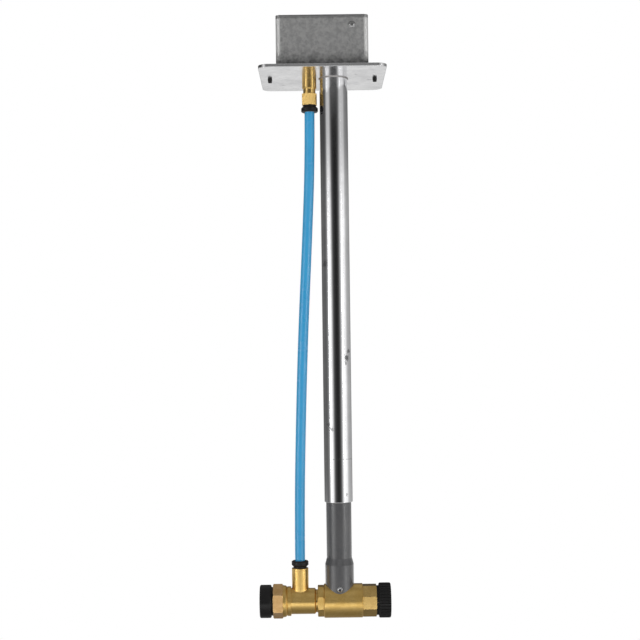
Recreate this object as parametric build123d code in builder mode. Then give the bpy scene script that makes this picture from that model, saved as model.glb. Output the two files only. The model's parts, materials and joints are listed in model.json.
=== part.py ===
from build123d import *
import math
import os

# Telescopic ground tap. Millimetres, +Z up, +X to the right of the front view, -Y to the front.
# The origin is the centre of the flange's underside, midway between its two screw holes.

os.makedirs("parts", exist_ok=True)

# Clearances
TURNING_FIT = 0.05          # radial, shaft turning in its bore
SEATED_FIT = 0.05           # radial, piece fixed in or on another
SLIDING_GAP = 0.1           # radial, plastic sleeve on a pipe
MOVING_GAP = 0.3            # between faces that pass each other
CUT_PAST = 1.0              # how far a cutting body stands past what it cuts

# Flange and box
BOX_WIDTH = 90.0
PLATE_RIM = 17.0            # plate beyond the box, each side
PLATE_CORNER = 10.0
PLATE_THICKNESS = 3.0
PLATE_EDGE = 0.4
SCREW_OFF_BOX = 7.5         # screw hole's axis beyond the box wall
SCREW_BUSH_BORE = 1.75
SCREW_BUSH_WALL = 0.45
SCREW_BUSH_TIP_WALL = 0.15
SCREW_BUSH_TAPER = 2.3
SCREW_BUSH_DROP = 3.2
SCREW_BUSH_FLANGE = 5.5
SCREW_BUSH_HEAD = 1.2
BOX_WALL = 2.0
BOX_CORNER = 4.5
BOX_HEIGHT = 49.0

# Lid, hinge and catch
LID_THICKNESS = 2.0
LID_EDGE = 0.4
HINGE_RADIUS = 3.0
HINGE_PIN_RADIUS = 1.5
HINGE_LENGTH = 40.0
HINGE_MIDDLE = 15.4
HINGE_LEAF = 1.2
HINGE_LEAF_DROP = 11.0
KNUCKLE_WEB_BACK = 2.4      # where the fixed knuckle's web meets it, back from the pin's axis
KNUCKLE_WEB_DROP = 1.5
LID_LEAF_BACK = 1.8
LID_LEAF_REACH = 20.0
CATCH_FROM_SIDE = 16.0
CATCH_DROP = 8.3            # catch screw below the top of the box
CATCH_SCREW_RADIUS = 2.0
CATCH_HEAD_RADIUS = 3.8
CATCH_HEAD_HEIGHT = 2.2
CATCH_CLIP_WIDTH = 12.0
CATCH_CLIP_THICKNESS = 0.8
CATCH_CLIP_LENGTH = 13.0
CATCH_CLIP_DROP = 1.0
CATCH_RECESS_RADIUS = 1.3
CATCH_RECESS_DEPTH = 1.3
CATCH_NOSE = 0.5
CATCH_NUT_FLATS = 7.0
CATCH_NUT_HEIGHT = 2.6
LID_TAB_WIDTH = 10.0
LID_TAB_THICKNESS = 1.0
LID_TAB_DROP = 3.2

# Outer tube and its top bush
TUBE_X = 11.0
TUBE_WALL = 1.2
PIPE_IN_TUBE_GAP = 0.3      # radial, inner pipe sliding in the outer tube
TUBE_LENGTH = 423.0
TUBE_LIP = 0.4
WELD_SIZE = 1.2
TOP_BUSH_WALL = 1.95
TOP_BUSH_DROP = 8.0
TOP_BUSH_FLANGE = 12.9
TOP_BUSH_HEAD = 2.0

# Handle and the upper drive
SPINDLE_RADIUS = 9.0
SPINDLE_SQUARE = 9.0
HANDLE_HUB_RADIUS = 11.0
HANDLE_HUB_HEIGHT = 9.0
HANDLE_CAP = 1.4
HANDLE_REACH = 30.0
HANDLE_WIDTH = 12.0
HANDLE_TIP_WIDTH = 9.0
HANDLE_THICKNESS = 5.0
HANDLE_EDGE = 1.2
HANDLE_SCREW_RADIUS = 2.05
HANDLE_SCREW_HEAD = 4.5
HANDLE_SCREW_HEAD_HEIGHT = 3.0
HANDLE_SCREW_LENGTH = 10.0
HANDLE_SCREW_RUNOUT = 1.0
HANDLE_SCREW_RECESS = 1.8
JOURNAL_RECESS = 2.0        # journal's lower end above the end of its bush
DRIVE_TUBE_WIDTH = 14.0
DRIVE_TUBE_WALL = 1.5
DRIVE_TUBE_CORNER = 2.5
DRIVE_TUBE_END = 380.0      # lower end, below the flange
SPINDLE_PLUG_LENGTH = 16.0
CROSS_PIN_RADIUS = 1.5

# Push-in fittings and riser pipe
FITTING_CHAMFER = 0.7
RISER_X = -13.2             # axis of the upper fitting
PIPE_RADIUS = 5.0
PIPE_BORE = 3.5
WATERWAY = 3.5
SEAL_WIRE = 0.75
SEAL_DEPTH = 7.6
SEAL_GROOVE = 2.0
SOCKET_BORE_DEPTH = 10.2
PIPE_STOP_DEPTH = 18.0
PIPE_INSERTION = 16.0
COLLET_LEG_DEPTH = 5.8
COLLET_WALL = 1.5
COLLET_TRAVEL = 1.5
COLLET_RIM_RADIUS = 8.4
COLLET_OUTSIDE = 7.0
COLLET_RIM = 3.9
COLLET_SLIT = 1.0
COLLET_STEP = 0.4
COLLET_ROUNDING = 0.8
UPPER_HEX_FLATS = 14.8
UPPER_HEX_HEIGHT = 11.4
MOUTH_CHAMFER = 0.5
UPPER_NECK_CONE = 1.0
UPPER_NECK_RADIUS = 6.2
UPPER_HEAD_RADIUS = 7.2
UPPER_HEAD_HEIGHT = 9.4
UPPER_BODY_LENGTH = 26.5
UPPER_THREAD_RADIUS = 6.2
UPPER_THREAD_TOP = 14.2
WASHER_THICKNESS = 1.2
WASHER_RADIUS = 9.8
TOP_NUT_FLATS = 18.0
TOP_NUT_HEIGHT = 5.0

# Hose spigot
SPIGOT_HEX_HEIGHT = 6.0
SPIGOT_SHANK_RADIUS = 5.8
SPIGOT_SHANK_HEIGHT = 8.0
SPIGOT_CATCH_RADIUS = 8.7
SPIGOT_CATCH_HEIGHT = 4.0
SPIGOT_BARREL_RADIUS = 7.5
SPIGOT_BARREL_HEIGHT = 11.0
SPIGOT_GROOVE_HEIGHT = 2.2
SPIGOT_GROOVE_FROM_TOP = 3.2
SPIGOT_RING_WIRE = 1.0
SPIGOT_BORE = 4.0
SPIGOT_CHAMFER = 1.2
SPIGOT_CATCH_EDGE = 0.8
SPIGOT_CATCH_SLOPE = 1.0

# Inner pipe
AXIS_DEPTH = 521.3          # axis of the brass run below the flange
INNER_RADIUS = 12.5
INNER_WALL = 2.0
INNER_TOP = 60.0            # top end below the flange
BELL_WALL = 2.1
BELL_SHOULDER_TOP = 42.8    # above the axis of the brass run
BELL_SHOULDER_BOTTOM = 36.4
FRICTION_RING_DEPTH = 0.9
FRICTION_RING_HEIGHT = 3.0
FRICTION_RING_DOWN = 4.0
FRICTION_RING_EDGE = 0.4
PIPE_SCREW_RISE = 13.5
PIPE_SCREW_RADIUS = 1.4
PIPE_SCREW_HEAD = 2.7
PIPE_SCREW_HEAD_HEIGHT = 1.6
PIPE_SCREW_LENGTH = 5.0
PIPE_SCREW_CROWN = 1.6
PIPE_SCREW_SLOT = 0.6
PIPE_SCREW_SLOT_LENGTH = 3.0

# Ball valve, lengths along X from the stem axis
BALL_RADIUS = 9.5
BALL_BORE = 6.0
SEAT_INNER_FACE = 5.0
SEAT_OUTER_FACE = 9.0
SEAT_RADIUS = 10.0
SEAT_BORE = 6.1
SEAT_CUP_MIDDLE = 48.0      # degrees from the run's axis to the middle point of the seat's cup
VALVE_RADIUS = 16.75
VALVE_LEFT_LENGTH = 21.9
VALVE_LEFT_ROUND = 15.9
VALVE_RIGHT_ROUND = 22.6
VALVE_LEFT_FLATS = 29.4
VALVE_CHAMFER = 0.8
BOSS_RADIUS = 12.0
BOSS_RISE = 26.8
VALVE_END_FLATS = 30.4
VALVE_END_LENGTH = 13.8
VALVE_END_SPIGOT = 13.5
VALVE_END_WEB = 7.0
END_SEAL_WIRE = 0.9
PORT_THREAD_RADIUS = 12.0

# Stem, gland and lower drive, heights above the axis of the brass run
STEM_RADIUS = 4.5
STEM_TONGUE_WIDTH = 3.8
STEM_TONGUE_LENGTH = 6.4
STEM_TONGUE_BOTTOM = 6.7
STEM_FLANGE_RADIUS = 6.0
STEM_FLANGE_HEIGHT = 2.0
STEM_TOP = 42.8
STEM_RING_WIRE = 0.6
STEM_RING_RISES = [14.8, 18.2]
GLAND_FLATS = 16.0
GLAND_HEIGHT = 5.0
GLAND_SPIGOT_RADIUS = 7.0
GLAND_SPIGOT_DEPTH = 5.0
COUPLER_RADIUS = 8.0
COUPLER_BOTTOM = 33.2
COUPLER_FLOOR = 47.0
COUPLER_TOP = 58.0
BAR_GAP = 0.5               # between drive bar and drive tube, each side
BAR_TOP_DEPTH = 90.0        # upper end below the flange
BAR_CORNER = 0.6

# Tee, lengths along X from the branch axis
BRANCH_TO_STEM = 39.2
BRANCH_RADIUS = 8.25
BRANCH_RISE = 33.1          # mouth above the axis of the brass run
BRANCH_FILLET = 1.0
TEE_RADIUS = 12.7
TEE_RIGHT = 15.3
TEE_COLLAR_RIGHT = 9.3
TEE_COLLAR_LEFT = 17.2
TEE_COLLAR_RADIUS = 15.7
TEE_BEAD_RADIUS = 14.5
TEE_BEAD_WIDTH = 3.2
TEE_COLLAR_FALL = 0.4
TEE_WAIST_FALL = 0.5
TEE_WAIST_LEFT = 2.0
TEE_WAIST_RIGHT = 0.6
TEE_BEAD_EDGE = 0.3
TEE_THREAD_RADIUS = 13.2
TEE_THREAD_LENGTH = 6.2
TEE_BORE = 7.5
TEE_CHAMFER = 1.0
NIPPLE_RADIUS = 10.45
NIPPLE_COLLAR_RADIUS = 11.2
NIPPLE_BORE = 6.0
NIPPLE_IN_TEE = 8.8
NIPPLE_IN_VALVE = 7.8
THREAD_RUNOUT = 0.2         # how much deeper a threaded bore is than its thread
THREAD_LEAD = 0.5
SHANK_LEAD = 1.0

# Left port
PORT_PIPE_RADIUS = 10.0
PORT_SOCKET_GAP = 0.15
PORT_SOCKET_DEPTH = 13.6
CHAMBER_RADIUS = 11.9
CHAMBER_DEPTH = 6.4
PORT_SEAL_WIRE = 0.9
GRIP_LENGTH = 5.9
GRIP_IN_CHAMBER = 3.7
GRIP_SHOULDER_RADIUS = 12.6
GRIP_TIP_RADIUS = 11.2
GRIP_BORE_GAP = 0.2
GRIP_SLIT = 1.5
NUT_FLATS = 30.0
NUT_LENGTH = 10.0
NUT_MOUTH_RADIUS = 10.5
NUT_CHAMFER = 1.3
CONE_LEAD = 0.4
CONE_GAP = 0.25             # between grip ring and the nut's cone
PLUG_NECK_RADIUS = 14.0
PLUG_NECK_LENGTH = 1.6
PLUG_HEAD_RADIUS = 16.25
PLUG_HEAD_LENGTH = 11.5
PLUG_HEAD_ROUNDING = 1.5
PLUG_SHANK_LENGTH = 15.4
PLUG_HOLLOW = 7.0

# Right port
GASKET_THICKNESS = 2.2
GASKET_RADIUS = 14.5
CAP_RADIUS = 17.2
CAP_LENGTH = 12.0
CAP_ROUNDING = 1.6
CAP_RIBS = 36
CAP_GROOVE_RADIUS = 0.9
CAP_SHANK_LENGTH = 9.0
CAP_HOLLOW = 9.0

# Places worked out from the sizes above
AXIS_Z = -AXIS_DEPTH
BRANCH_X = TUBE_X - BRANCH_TO_STEM
PLATE_WIDTH = BOX_WIDTH + 2 * PLATE_RIM
SCREW_SPACING = BOX_WIDTH + 2 * SCREW_OFF_BOX
CATCH_X = BOX_WIDTH / 2 - CATCH_FROM_SIDE
BOX_TOP = PLATE_THICKNESS + BOX_HEIGHT
BOX_HALF = BOX_WIDTH / 2
INNER_BORE = INNER_RADIUS - INNER_WALL
TUBE_BORE = INNER_RADIUS + PIPE_IN_TUBE_GAP
TUBE_RADIUS = TUBE_BORE + TUBE_WALL
BELL_BORE = BOSS_RADIUS + SLIDING_GAP
BELL_RADIUS = BELL_BORE + BELL_WALL
DRIVE_BORE = DRIVE_TUBE_WIDTH - 2 * DRIVE_TUBE_WALL
DRIVE_BORE_CORNER = DRIVE_TUBE_CORNER - DRIVE_TUBE_WALL
BAR_WIDTH = DRIVE_BORE - 2 * BAR_GAP
TUBE_AXIS = Axis((TUBE_X, 0, 0), (0, 0, 1))
RISER_AXIS = Axis((RISER_X, 0, 0), (0, 0, 1))
RUN_AXIS = Axis((0, 0, AXIS_Z), (1, 0, 0))


def turning(axis, outline, mode=Mode.ADD):
    """Turn a closed outline of X and Z points, drawn on the XZ plane, about an axis of that plane."""
    with BuildSketch(Plane.XZ) as face:
        with BuildLine():
            Polyline(*outline, close=True)
        make_face()
    revolve(face.sketch, axis=axis, mode=mode)


def upright(x, outline, mode=Mode.ADD):
    """Turn an outline of radius and Z points about the vertical axis at x."""
    turning(Axis((x, 0, 0), (0, 0, 1)), [(x + radius, z) for radius, z in outline], mode)


def lengthwise(outline, mode=Mode.ADD):
    """Turn an outline of X and radius points about the axis of the brass run."""
    turning(RUN_AXIS, [(x, AXIS_Z + radius) for x, radius in outline], mode)


def upright_sleeve(x, inner, outer, bottom, top, mode=Mode.ADD):
    """A plain sleeve on the vertical axis at x, solid where its inner radius is 0."""
    upright(x, [(inner, bottom), (outer, bottom), (outer, top), (inner, top)], mode)


def lengthwise_sleeve(inner, outer, left, right, mode=Mode.ADD):
    """A plain sleeve on the axis of the brass run, solid where its inner radius is 0."""
    lengthwise([(left, inner), (right, inner), (right, outer), (left, outer)], mode)


def wire_ring(axis, centre, wire, mode=Mode.ADD):
    """A round-wire ring about an axis of the XZ plane; centre is the wire's centre as X and Z."""
    with BuildSketch(Plane.XZ) as face:
        with Locations(centre):
            Circle(wire)
    revolve(face.sketch, axis=axis, mode=mode)


def upright_prism(x, flats, sides, bottom, top, chamfer_size, turn=0):
    """A polygonal bar on the vertical axis at x, a flat to the front before its turn, corners turned off."""
    corner = flats / 2 / math.cos(math.pi / sides)
    with BuildSketch(Plane.XY.offset(bottom)) as outline:
        with Locations((x, 0)):
            RegularPolygon(flats / 2, sides, major_radius=False, rotation=flat_turn(sides) + turn)
    prism = extrude(outline.sketch, amount=top - bottom, mode=Mode.PRIVATE)
    slope = chamfer_size * math.tan(math.radians(30))
    with BuildSketch(Plane.XZ) as turned:
        with BuildLine():
            Polyline((x, bottom), (x + corner - chamfer_size, bottom), (x + corner, bottom + slope),
                     (x + corner, top - slope), (x + corner - chamfer_size, top), (x, top), close=True)
        make_face()
    blank = revolve(turned.sketch, axis=Axis((x, 0, 0), (0, 0, 1)), mode=Mode.PRIVATE)
    add(prism & blank)


def lengthwise_prism(flats, sides, left, right, chamfer_size):
    """A polygonal bar on the axis of the brass run, with one flat to the front and its corners turned off."""
    corner = flats / 2 / math.cos(math.pi / sides)
    with BuildSketch(Plane.YZ.offset(left)) as outline:
        with Locations((0, AXIS_Z)):
            RegularPolygon(flats / 2, sides, major_radius=False, rotation=flat_turn(sides) + 90)
    prism = extrude(outline.sketch, amount=right - left, mode=Mode.PRIVATE)
    slope = chamfer_size * math.tan(math.radians(30))
    with BuildSketch(Plane.XZ) as turned:
        with BuildLine():
            Polyline((left, AXIS_Z), (left, AXIS_Z + corner - chamfer_size), (left + slope, AXIS_Z + corner),
                     (right - slope, AXIS_Z + corner), (right, AXIS_Z + corner - chamfer_size),
                     (right, AXIS_Z), close=True)
        make_face()
    blank = revolve(turned.sketch, axis=RUN_AXIS, mode=Mode.PRIVATE)
    add(prism & blank)


def flat_turn(sides):
    """Turn, in degrees, that puts one flat of a regular polygon square to the drawing's Y axis."""
    return 90 - 180 / sides


# Flange plate
BUSH_HOLE = SCREW_BUSH_BORE + SCREW_BUSH_WALL + SEATED_FIT
TOP_BUSH_RADIUS = SPINDLE_RADIUS + TURNING_FIT + TOP_BUSH_WALL
with BuildPart() as flange_plate:
    with BuildSketch():
        RectangleRounded(PLATE_WIDTH, PLATE_WIDTH, PLATE_CORNER)
        with Locations((TUBE_X, 0)):
            Circle(TOP_BUSH_RADIUS + SEATED_FIT, mode=Mode.SUBTRACT)
        with Locations((RISER_X, 0)):
            Circle(UPPER_THREAD_RADIUS + SEATED_FIT, mode=Mode.SUBTRACT)
        with GridLocations(SCREW_SPACING, SCREW_SPACING, 2, 1):
            Circle(BUSH_HOLE, mode=Mode.SUBTRACT)
    extrude(amount=PLATE_THICKNESS)
    rim = flange_plate.faces().sort_by(Axis.Z)
    fillet(rim[0].outer_wire().edges() + rim[-1].outer_wire().edges(), PLATE_EDGE)
flange_plate.part.label = "flange_plate"
export_step(flange_plate.part, "parts/flange_plate.step")

# Black bushes in the two screw holes, their tapered ends below the plate
with BuildPart() as flange_bushes:
    for side in (-1, 1):
        bush_x = side * SCREW_SPACING / 2
        bush_radius = SCREW_BUSH_BORE + SCREW_BUSH_WALL
        upright(bush_x, [
            (SCREW_BUSH_BORE, -SCREW_BUSH_DROP),
            (SCREW_BUSH_BORE + SCREW_BUSH_TIP_WALL, -SCREW_BUSH_DROP),
            (bush_radius, SCREW_BUSH_TAPER - SCREW_BUSH_DROP),
            (bush_radius, PLATE_THICKNESS),
            (SCREW_BUSH_FLANGE, PLATE_THICKNESS),
            (SCREW_BUSH_FLANGE, PLATE_THICKNESS + SCREW_BUSH_HEAD),
            (SCREW_BUSH_BORE, PLATE_THICKNESS + SCREW_BUSH_HEAD),
        ])
flange_bushes.part.label = "flange_bushes"
export_step(flange_bushes.part, "parts/flange_bushes.step")

# Box wall, with the hole of the catch screw in its front
CATCH_Z = BOX_TOP - CATCH_DROP
CATCH_PLANE = Plane(origin=(CATCH_X, -BOX_HALF, CATCH_Z), x_dir=(1, 0, 0), z_dir=(0, 1, 0))
with BuildPart() as box_wall:
    with BuildSketch(Plane.XY.offset(PLATE_THICKNESS)):
        RectangleRounded(BOX_WIDTH, BOX_WIDTH, BOX_CORNER)
        offset(amount=-BOX_WALL, kind=Kind.ARC, mode=Mode.SUBTRACT)
    extrude(amount=BOX_HEIGHT)
    with BuildSketch(CATCH_PLANE):
        Circle(CATCH_SCREW_RADIUS + SEATED_FIT)
    extrude(amount=BOX_WALL, mode=Mode.SUBTRACT)
box_wall.part.label = "box_wall"
export_step(box_wall.part, "parts/box_wall.step")

# Lid plate and the tab under its front edge
with BuildPart() as lid_plate:
    with BuildSketch(Plane.XY.offset(BOX_TOP)):
        RectangleRounded(BOX_WIDTH, BOX_WIDTH, BOX_CORNER)
    extrude(amount=LID_THICKNESS)
    fillet(lid_plate.faces().sort_by(Axis.Z)[-1].edges(), LID_EDGE)
lid_plate.part.label = "lid_plate"
export_step(lid_plate.part, "parts/lid_plate.step")

CLIP_BACK_Y = -BOX_HALF + BOX_WALL + CATCH_CLIP_THICKNESS
TAB_FRONT_Y = CLIP_BACK_Y + 2 * CATCH_NOSE
with BuildPart() as lid_tab:
    with BuildSketch(Plane.XY.offset(BOX_TOP)):
        with Locations((CATCH_X, TAB_FRONT_Y + LID_TAB_THICKNESS / 2)):
            Rectangle(LID_TAB_WIDTH, LID_TAB_THICKNESS)
    extrude(amount=-LID_TAB_DROP)
    fillet(lid_tab.faces().sort_by(Axis.Z)[0].edges(), LID_TAB_THICKNESS / 4)
lid_tab.part.label = "lid_tab"
export_step(lid_tab.part, "parts/lid_tab.step")

# Hinge behind the box: fixed leaf with two knuckles, lid leaf with one, and the pin
HINGE_Y = BOX_HALF + HINGE_RADIUS + MOVING_GAP + TURNING_FIT
HINGE_Z = BOX_TOP + LID_THICKNESS / 2
OUTER_KNUCKLE = (HINGE_LENGTH - HINGE_MIDDLE) / 2 - MOVING_GAP
LEAF_TOP = HINGE_Z - HINGE_RADIUS - MOVING_GAP
with BuildPart() as hinge_leaf:
    with BuildSketch(Plane.XZ.offset(-BOX_HALF)):
        with Locations((0, LEAF_TOP - HINGE_LEAF_DROP / 2)):
            Rectangle(HINGE_LENGTH, HINGE_LEAF_DROP)
    extrude(amount=-HINGE_LEAF)
    for side in (-1, 1):
        knuckle_x = side * (HINGE_LENGTH - OUTER_KNUCKLE) / 2
        with BuildSketch(Plane.YZ.offset(knuckle_x)):
            with BuildLine():
                Polyline((BOX_HALF, LEAF_TOP - HINGE_RADIUS), (BOX_HALF, BOX_TOP - MOVING_GAP),
                         (HINGE_Y - KNUCKLE_WEB_BACK, HINGE_Z - KNUCKLE_WEB_DROP),
                         (HINGE_Y, HINGE_Z), (HINGE_Y, HINGE_Z - HINGE_RADIUS),
                         (BOX_HALF + HINGE_LEAF, LEAF_TOP - HINGE_RADIUS), close=True)
            make_face()
            with Locations((HINGE_Y, HINGE_Z)):
                Circle(HINGE_RADIUS)
                Circle(HINGE_PIN_RADIUS + SEATED_FIT, mode=Mode.SUBTRACT)
        extrude(amount=OUTER_KNUCKLE / 2, both=True)
hinge_leaf.part.label = "hinge_leaf"
export_step(hinge_leaf.part, "parts/hinge_leaf.step")

with BuildPart() as lid_hinge_leaf:
    with BuildSketch(Plane.YZ):
        with BuildLine():
            Polyline((BOX_HALF - LID_LEAF_REACH, BOX_TOP + LID_THICKNESS),
                     (HINGE_Y - LID_LEAF_BACK, BOX_TOP + LID_THICKNESS),
                     (HINGE_Y - LID_LEAF_BACK, BOX_TOP + LID_THICKNESS + HINGE_LEAF),
                     (BOX_HALF - LID_LEAF_REACH, BOX_TOP + LID_THICKNESS + HINGE_LEAF), close=True)
        make_face()
        with Locations((HINGE_Y, HINGE_Z)):
            Circle(HINGE_RADIUS)
            Circle(HINGE_PIN_RADIUS + TURNING_FIT, mode=Mode.SUBTRACT)
    extrude(amount=HINGE_MIDDLE / 2, both=True)
lid_hinge_leaf.part.label = "lid_hinge_leaf"
export_step(lid_hinge_leaf.part, "parts/lid_hinge_leaf.step")

PIN_HEAD = HINGE_PIN_RADIUS / 2
with BuildPart() as hinge_pin:
    with BuildSketch(Plane.YZ.offset(-HINGE_LENGTH / 2 - PIN_HEAD)):
        with Locations((HINGE_Y, HINGE_Z)):
            Circle(HINGE_PIN_RADIUS)
    extrude(amount=HINGE_LENGTH + 2 * PIN_HEAD)
    fillet(hinge_pin.edges().filter_by(GeomType.CIRCLE), PIN_HEAD / 2)
hinge_pin.part.label = "hinge_pin"
export_step(hinge_pin.part, "parts/hinge_pin.step")

# Catch: button-head screw through the front wall, spring clip inside, nut
with BuildPart() as catch_screw:
    with BuildSketch(Plane.YZ.offset(CATCH_X)) as screw_outline:
        with BuildLine():
            head_back = (-BOX_HALF, CATCH_Z + CATCH_HEAD_RADIUS)
            head_front = (-BOX_HALF - CATCH_HEAD_HEIGHT, CATCH_Z)
            RadiusArc(head_back, head_front,
                      -(CATCH_HEAD_RADIUS ** 2 + CATCH_HEAD_HEIGHT ** 2) / (2 * CATCH_HEAD_HEIGHT))
            nut_back = CLIP_BACK_Y + CATCH_NUT_HEIGHT
            Polyline(head_front, (nut_back, CATCH_Z), (nut_back, CATCH_Z + CATCH_SCREW_RADIUS),
                     (-BOX_HALF, CATCH_Z + CATCH_SCREW_RADIUS), head_back)
        make_face()
    revolve(axis=Axis((CATCH_X, 0, CATCH_Z), (0, 1, 0)))
    with BuildSketch(Plane(origin=(CATCH_X, -BOX_HALF - CATCH_HEAD_HEIGHT, CATCH_Z),
                           x_dir=(1, 0, 0), z_dir=(0, 1, 0))):
        RegularPolygon(CATCH_RECESS_RADIUS, 6)
    extrude(amount=CATCH_RECESS_DEPTH, mode=Mode.SUBTRACT)
catch_screw.part.label = "catch_screw"
export_step(catch_screw.part, "parts/catch_screw.step")

CLIP_TOP = BOX_TOP - CATCH_CLIP_DROP
with BuildPart() as catch_clip:
    with BuildSketch(Plane.XZ.offset(BOX_HALF - BOX_WALL)):
        with Locations((CATCH_X, CLIP_TOP - CATCH_CLIP_LENGTH / 2)):
            Rectangle(CATCH_CLIP_WIDTH, CATCH_CLIP_LENGTH)
        with Locations((CATCH_X, CATCH_Z)):
            Circle(CATCH_SCREW_RADIUS + SEATED_FIT, mode=Mode.SUBTRACT)
    extrude(amount=-CATCH_CLIP_THICKNESS)
    with BuildSketch(Plane.YZ.offset(CATCH_X)):
        with Locations((CLIP_BACK_Y, CLIP_TOP - 2 * CATCH_NOSE)):
            Circle(CATCH_NOSE)
    extrude(amount=CATCH_CLIP_WIDTH / 2, both=True)
catch_clip.part.label = "catch_clip"
export_step(catch_clip.part, "parts/catch_clip.step")

with BuildPart() as catch_nut:
    with BuildSketch(Plane.XZ.offset(-CLIP_BACK_Y)):
        with Locations((CATCH_X, CATCH_Z)):
            RegularPolygon(CATCH_NUT_FLATS / 2, 6, major_radius=False)
            Circle(CATCH_SCREW_RADIUS + SEATED_FIT, mode=Mode.SUBTRACT)
    extrude(amount=-CATCH_NUT_HEIGHT)
catch_nut.part.label = "catch_nut"
export_step(catch_nut.part, "parts/catch_nut.step")

# Outer tube under the flange, and its weld
with BuildPart() as outer_tube:
    upright_sleeve(TUBE_X, TUBE_BORE, TUBE_RADIUS, -TUBE_LENGTH, 0)
    fillet(outer_tube.edges().group_by(Axis.Z)[0], TUBE_LIP)
outer_tube.part.label = "outer_tube"
export_step(outer_tube.part, "parts/outer_tube.step")

with BuildPart() as tube_weld:
    weld_root = TUBE_RADIUS + SEATED_FIT / 2
    upright(TUBE_X, [(weld_root, 0), (weld_root, -WELD_SIZE), (weld_root + WELD_SIZE, 0)])
tube_weld.part.label = "tube_weld"
export_step(tube_weld.part, "parts/tube_weld.step")

# Top bush, in which the drive spindle turns
BUSH_TOP = PLATE_THICKNESS + TOP_BUSH_HEAD
with BuildPart() as top_bush:
    upright(TUBE_X, [
        (SPINDLE_RADIUS + TURNING_FIT, -TOP_BUSH_DROP),
        (TOP_BUSH_RADIUS, -TOP_BUSH_DROP),
        (TOP_BUSH_RADIUS, PLATE_THICKNESS),
        (TOP_BUSH_FLANGE, PLATE_THICKNESS),
        (TOP_BUSH_FLANGE, BUSH_TOP),
        (SPINDLE_RADIUS + TURNING_FIT, BUSH_TOP),
    ])
top_bush.part.label = "top_bush"
export_step(top_bush.part, "parts/top_bush.step")

# Drive spindle: round journal, square for the handle above, square plug for the drive tube below
JOURNAL_BOTTOM = -TOP_BUSH_DROP + JOURNAL_RECESS
JOURNAL_TOP = BUSH_TOP + MOVING_GAP
HUB_TOP = JOURNAL_TOP + HANDLE_HUB_HEIGHT
SQUARE_TOP = HUB_TOP - HANDLE_CAP - SLIDING_GAP
PLUG_WIDTH = DRIVE_BORE - 2 * SLIDING_GAP
CROSS_PIN_Z = JOURNAL_BOTTOM - SPINDLE_PLUG_LENGTH / 2
with BuildPart() as drive_spindle:
    with BuildSketch(Plane.XY.offset(JOURNAL_BOTTOM - SPINDLE_PLUG_LENGTH)):
        with Locations((TUBE_X, 0)):
            RectangleRounded(PLUG_WIDTH, PLUG_WIDTH, DRIVE_BORE_CORNER)
    extrude(amount=SPINDLE_PLUG_LENGTH)
    upright_sleeve(TUBE_X, 0, SPINDLE_RADIUS, JOURNAL_BOTTOM, JOURNAL_TOP)
    with BuildSketch(Plane.XY.offset(JOURNAL_TOP)):
        with Locations((TUBE_X, 0)):
            Rectangle(SPINDLE_SQUARE, SPINDLE_SQUARE)
    extrude(amount=SQUARE_TOP - JOURNAL_TOP)
    upright_sleeve(TUBE_X, 0, HANDLE_SCREW_RADIUS + SEATED_FIT,
                   HUB_TOP - HANDLE_SCREW_LENGTH - HANDLE_SCREW_RUNOUT, SQUARE_TOP, mode=Mode.SUBTRACT)
    with BuildSketch(Plane.XZ):
        with Locations((TUBE_X, CROSS_PIN_Z)):
            Circle(CROSS_PIN_RADIUS + SEATED_FIT)
    extrude(amount=PLUG_WIDTH, both=True, mode=Mode.SUBTRACT)
drive_spindle.part.label = "drive_spindle"
export_step(drive_spindle.part, "parts/drive_spindle.step")

# Square drive tube, telescoping over the drive bar
with BuildPart() as drive_tube:
    with BuildSketch(Plane.XY.offset(-DRIVE_TUBE_END)):
        with Locations((TUBE_X, 0)):
            RectangleRounded(DRIVE_TUBE_WIDTH, DRIVE_TUBE_WIDTH, DRIVE_TUBE_CORNER)
            RectangleRounded(DRIVE_BORE, DRIVE_BORE, DRIVE_BORE_CORNER, mode=Mode.SUBTRACT)
    extrude(amount=DRIVE_TUBE_END + JOURNAL_BOTTOM)
    with BuildSketch(Plane.XZ):
        with Locations((TUBE_X, CROSS_PIN_Z)):
            Circle(CROSS_PIN_RADIUS + SEATED_FIT)
    extrude(amount=DRIVE_TUBE_WIDTH, both=True, mode=Mode.SUBTRACT)
drive_tube.part.label = "drive_tube"
export_step(drive_tube.part, "parts/drive_tube.step")

with BuildPart() as spindle_pin:
    with BuildSketch(Plane.XZ):
        with Locations((TUBE_X, CROSS_PIN_Z)):
            Circle(CROSS_PIN_RADIUS)
    extrude(amount=DRIVE_TUBE_WIDTH / 2 - SLIDING_GAP, both=True)
spindle_pin.part.label = "spindle_pin"
export_step(spindle_pin.part, "parts/spindle_pin.step")

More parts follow.
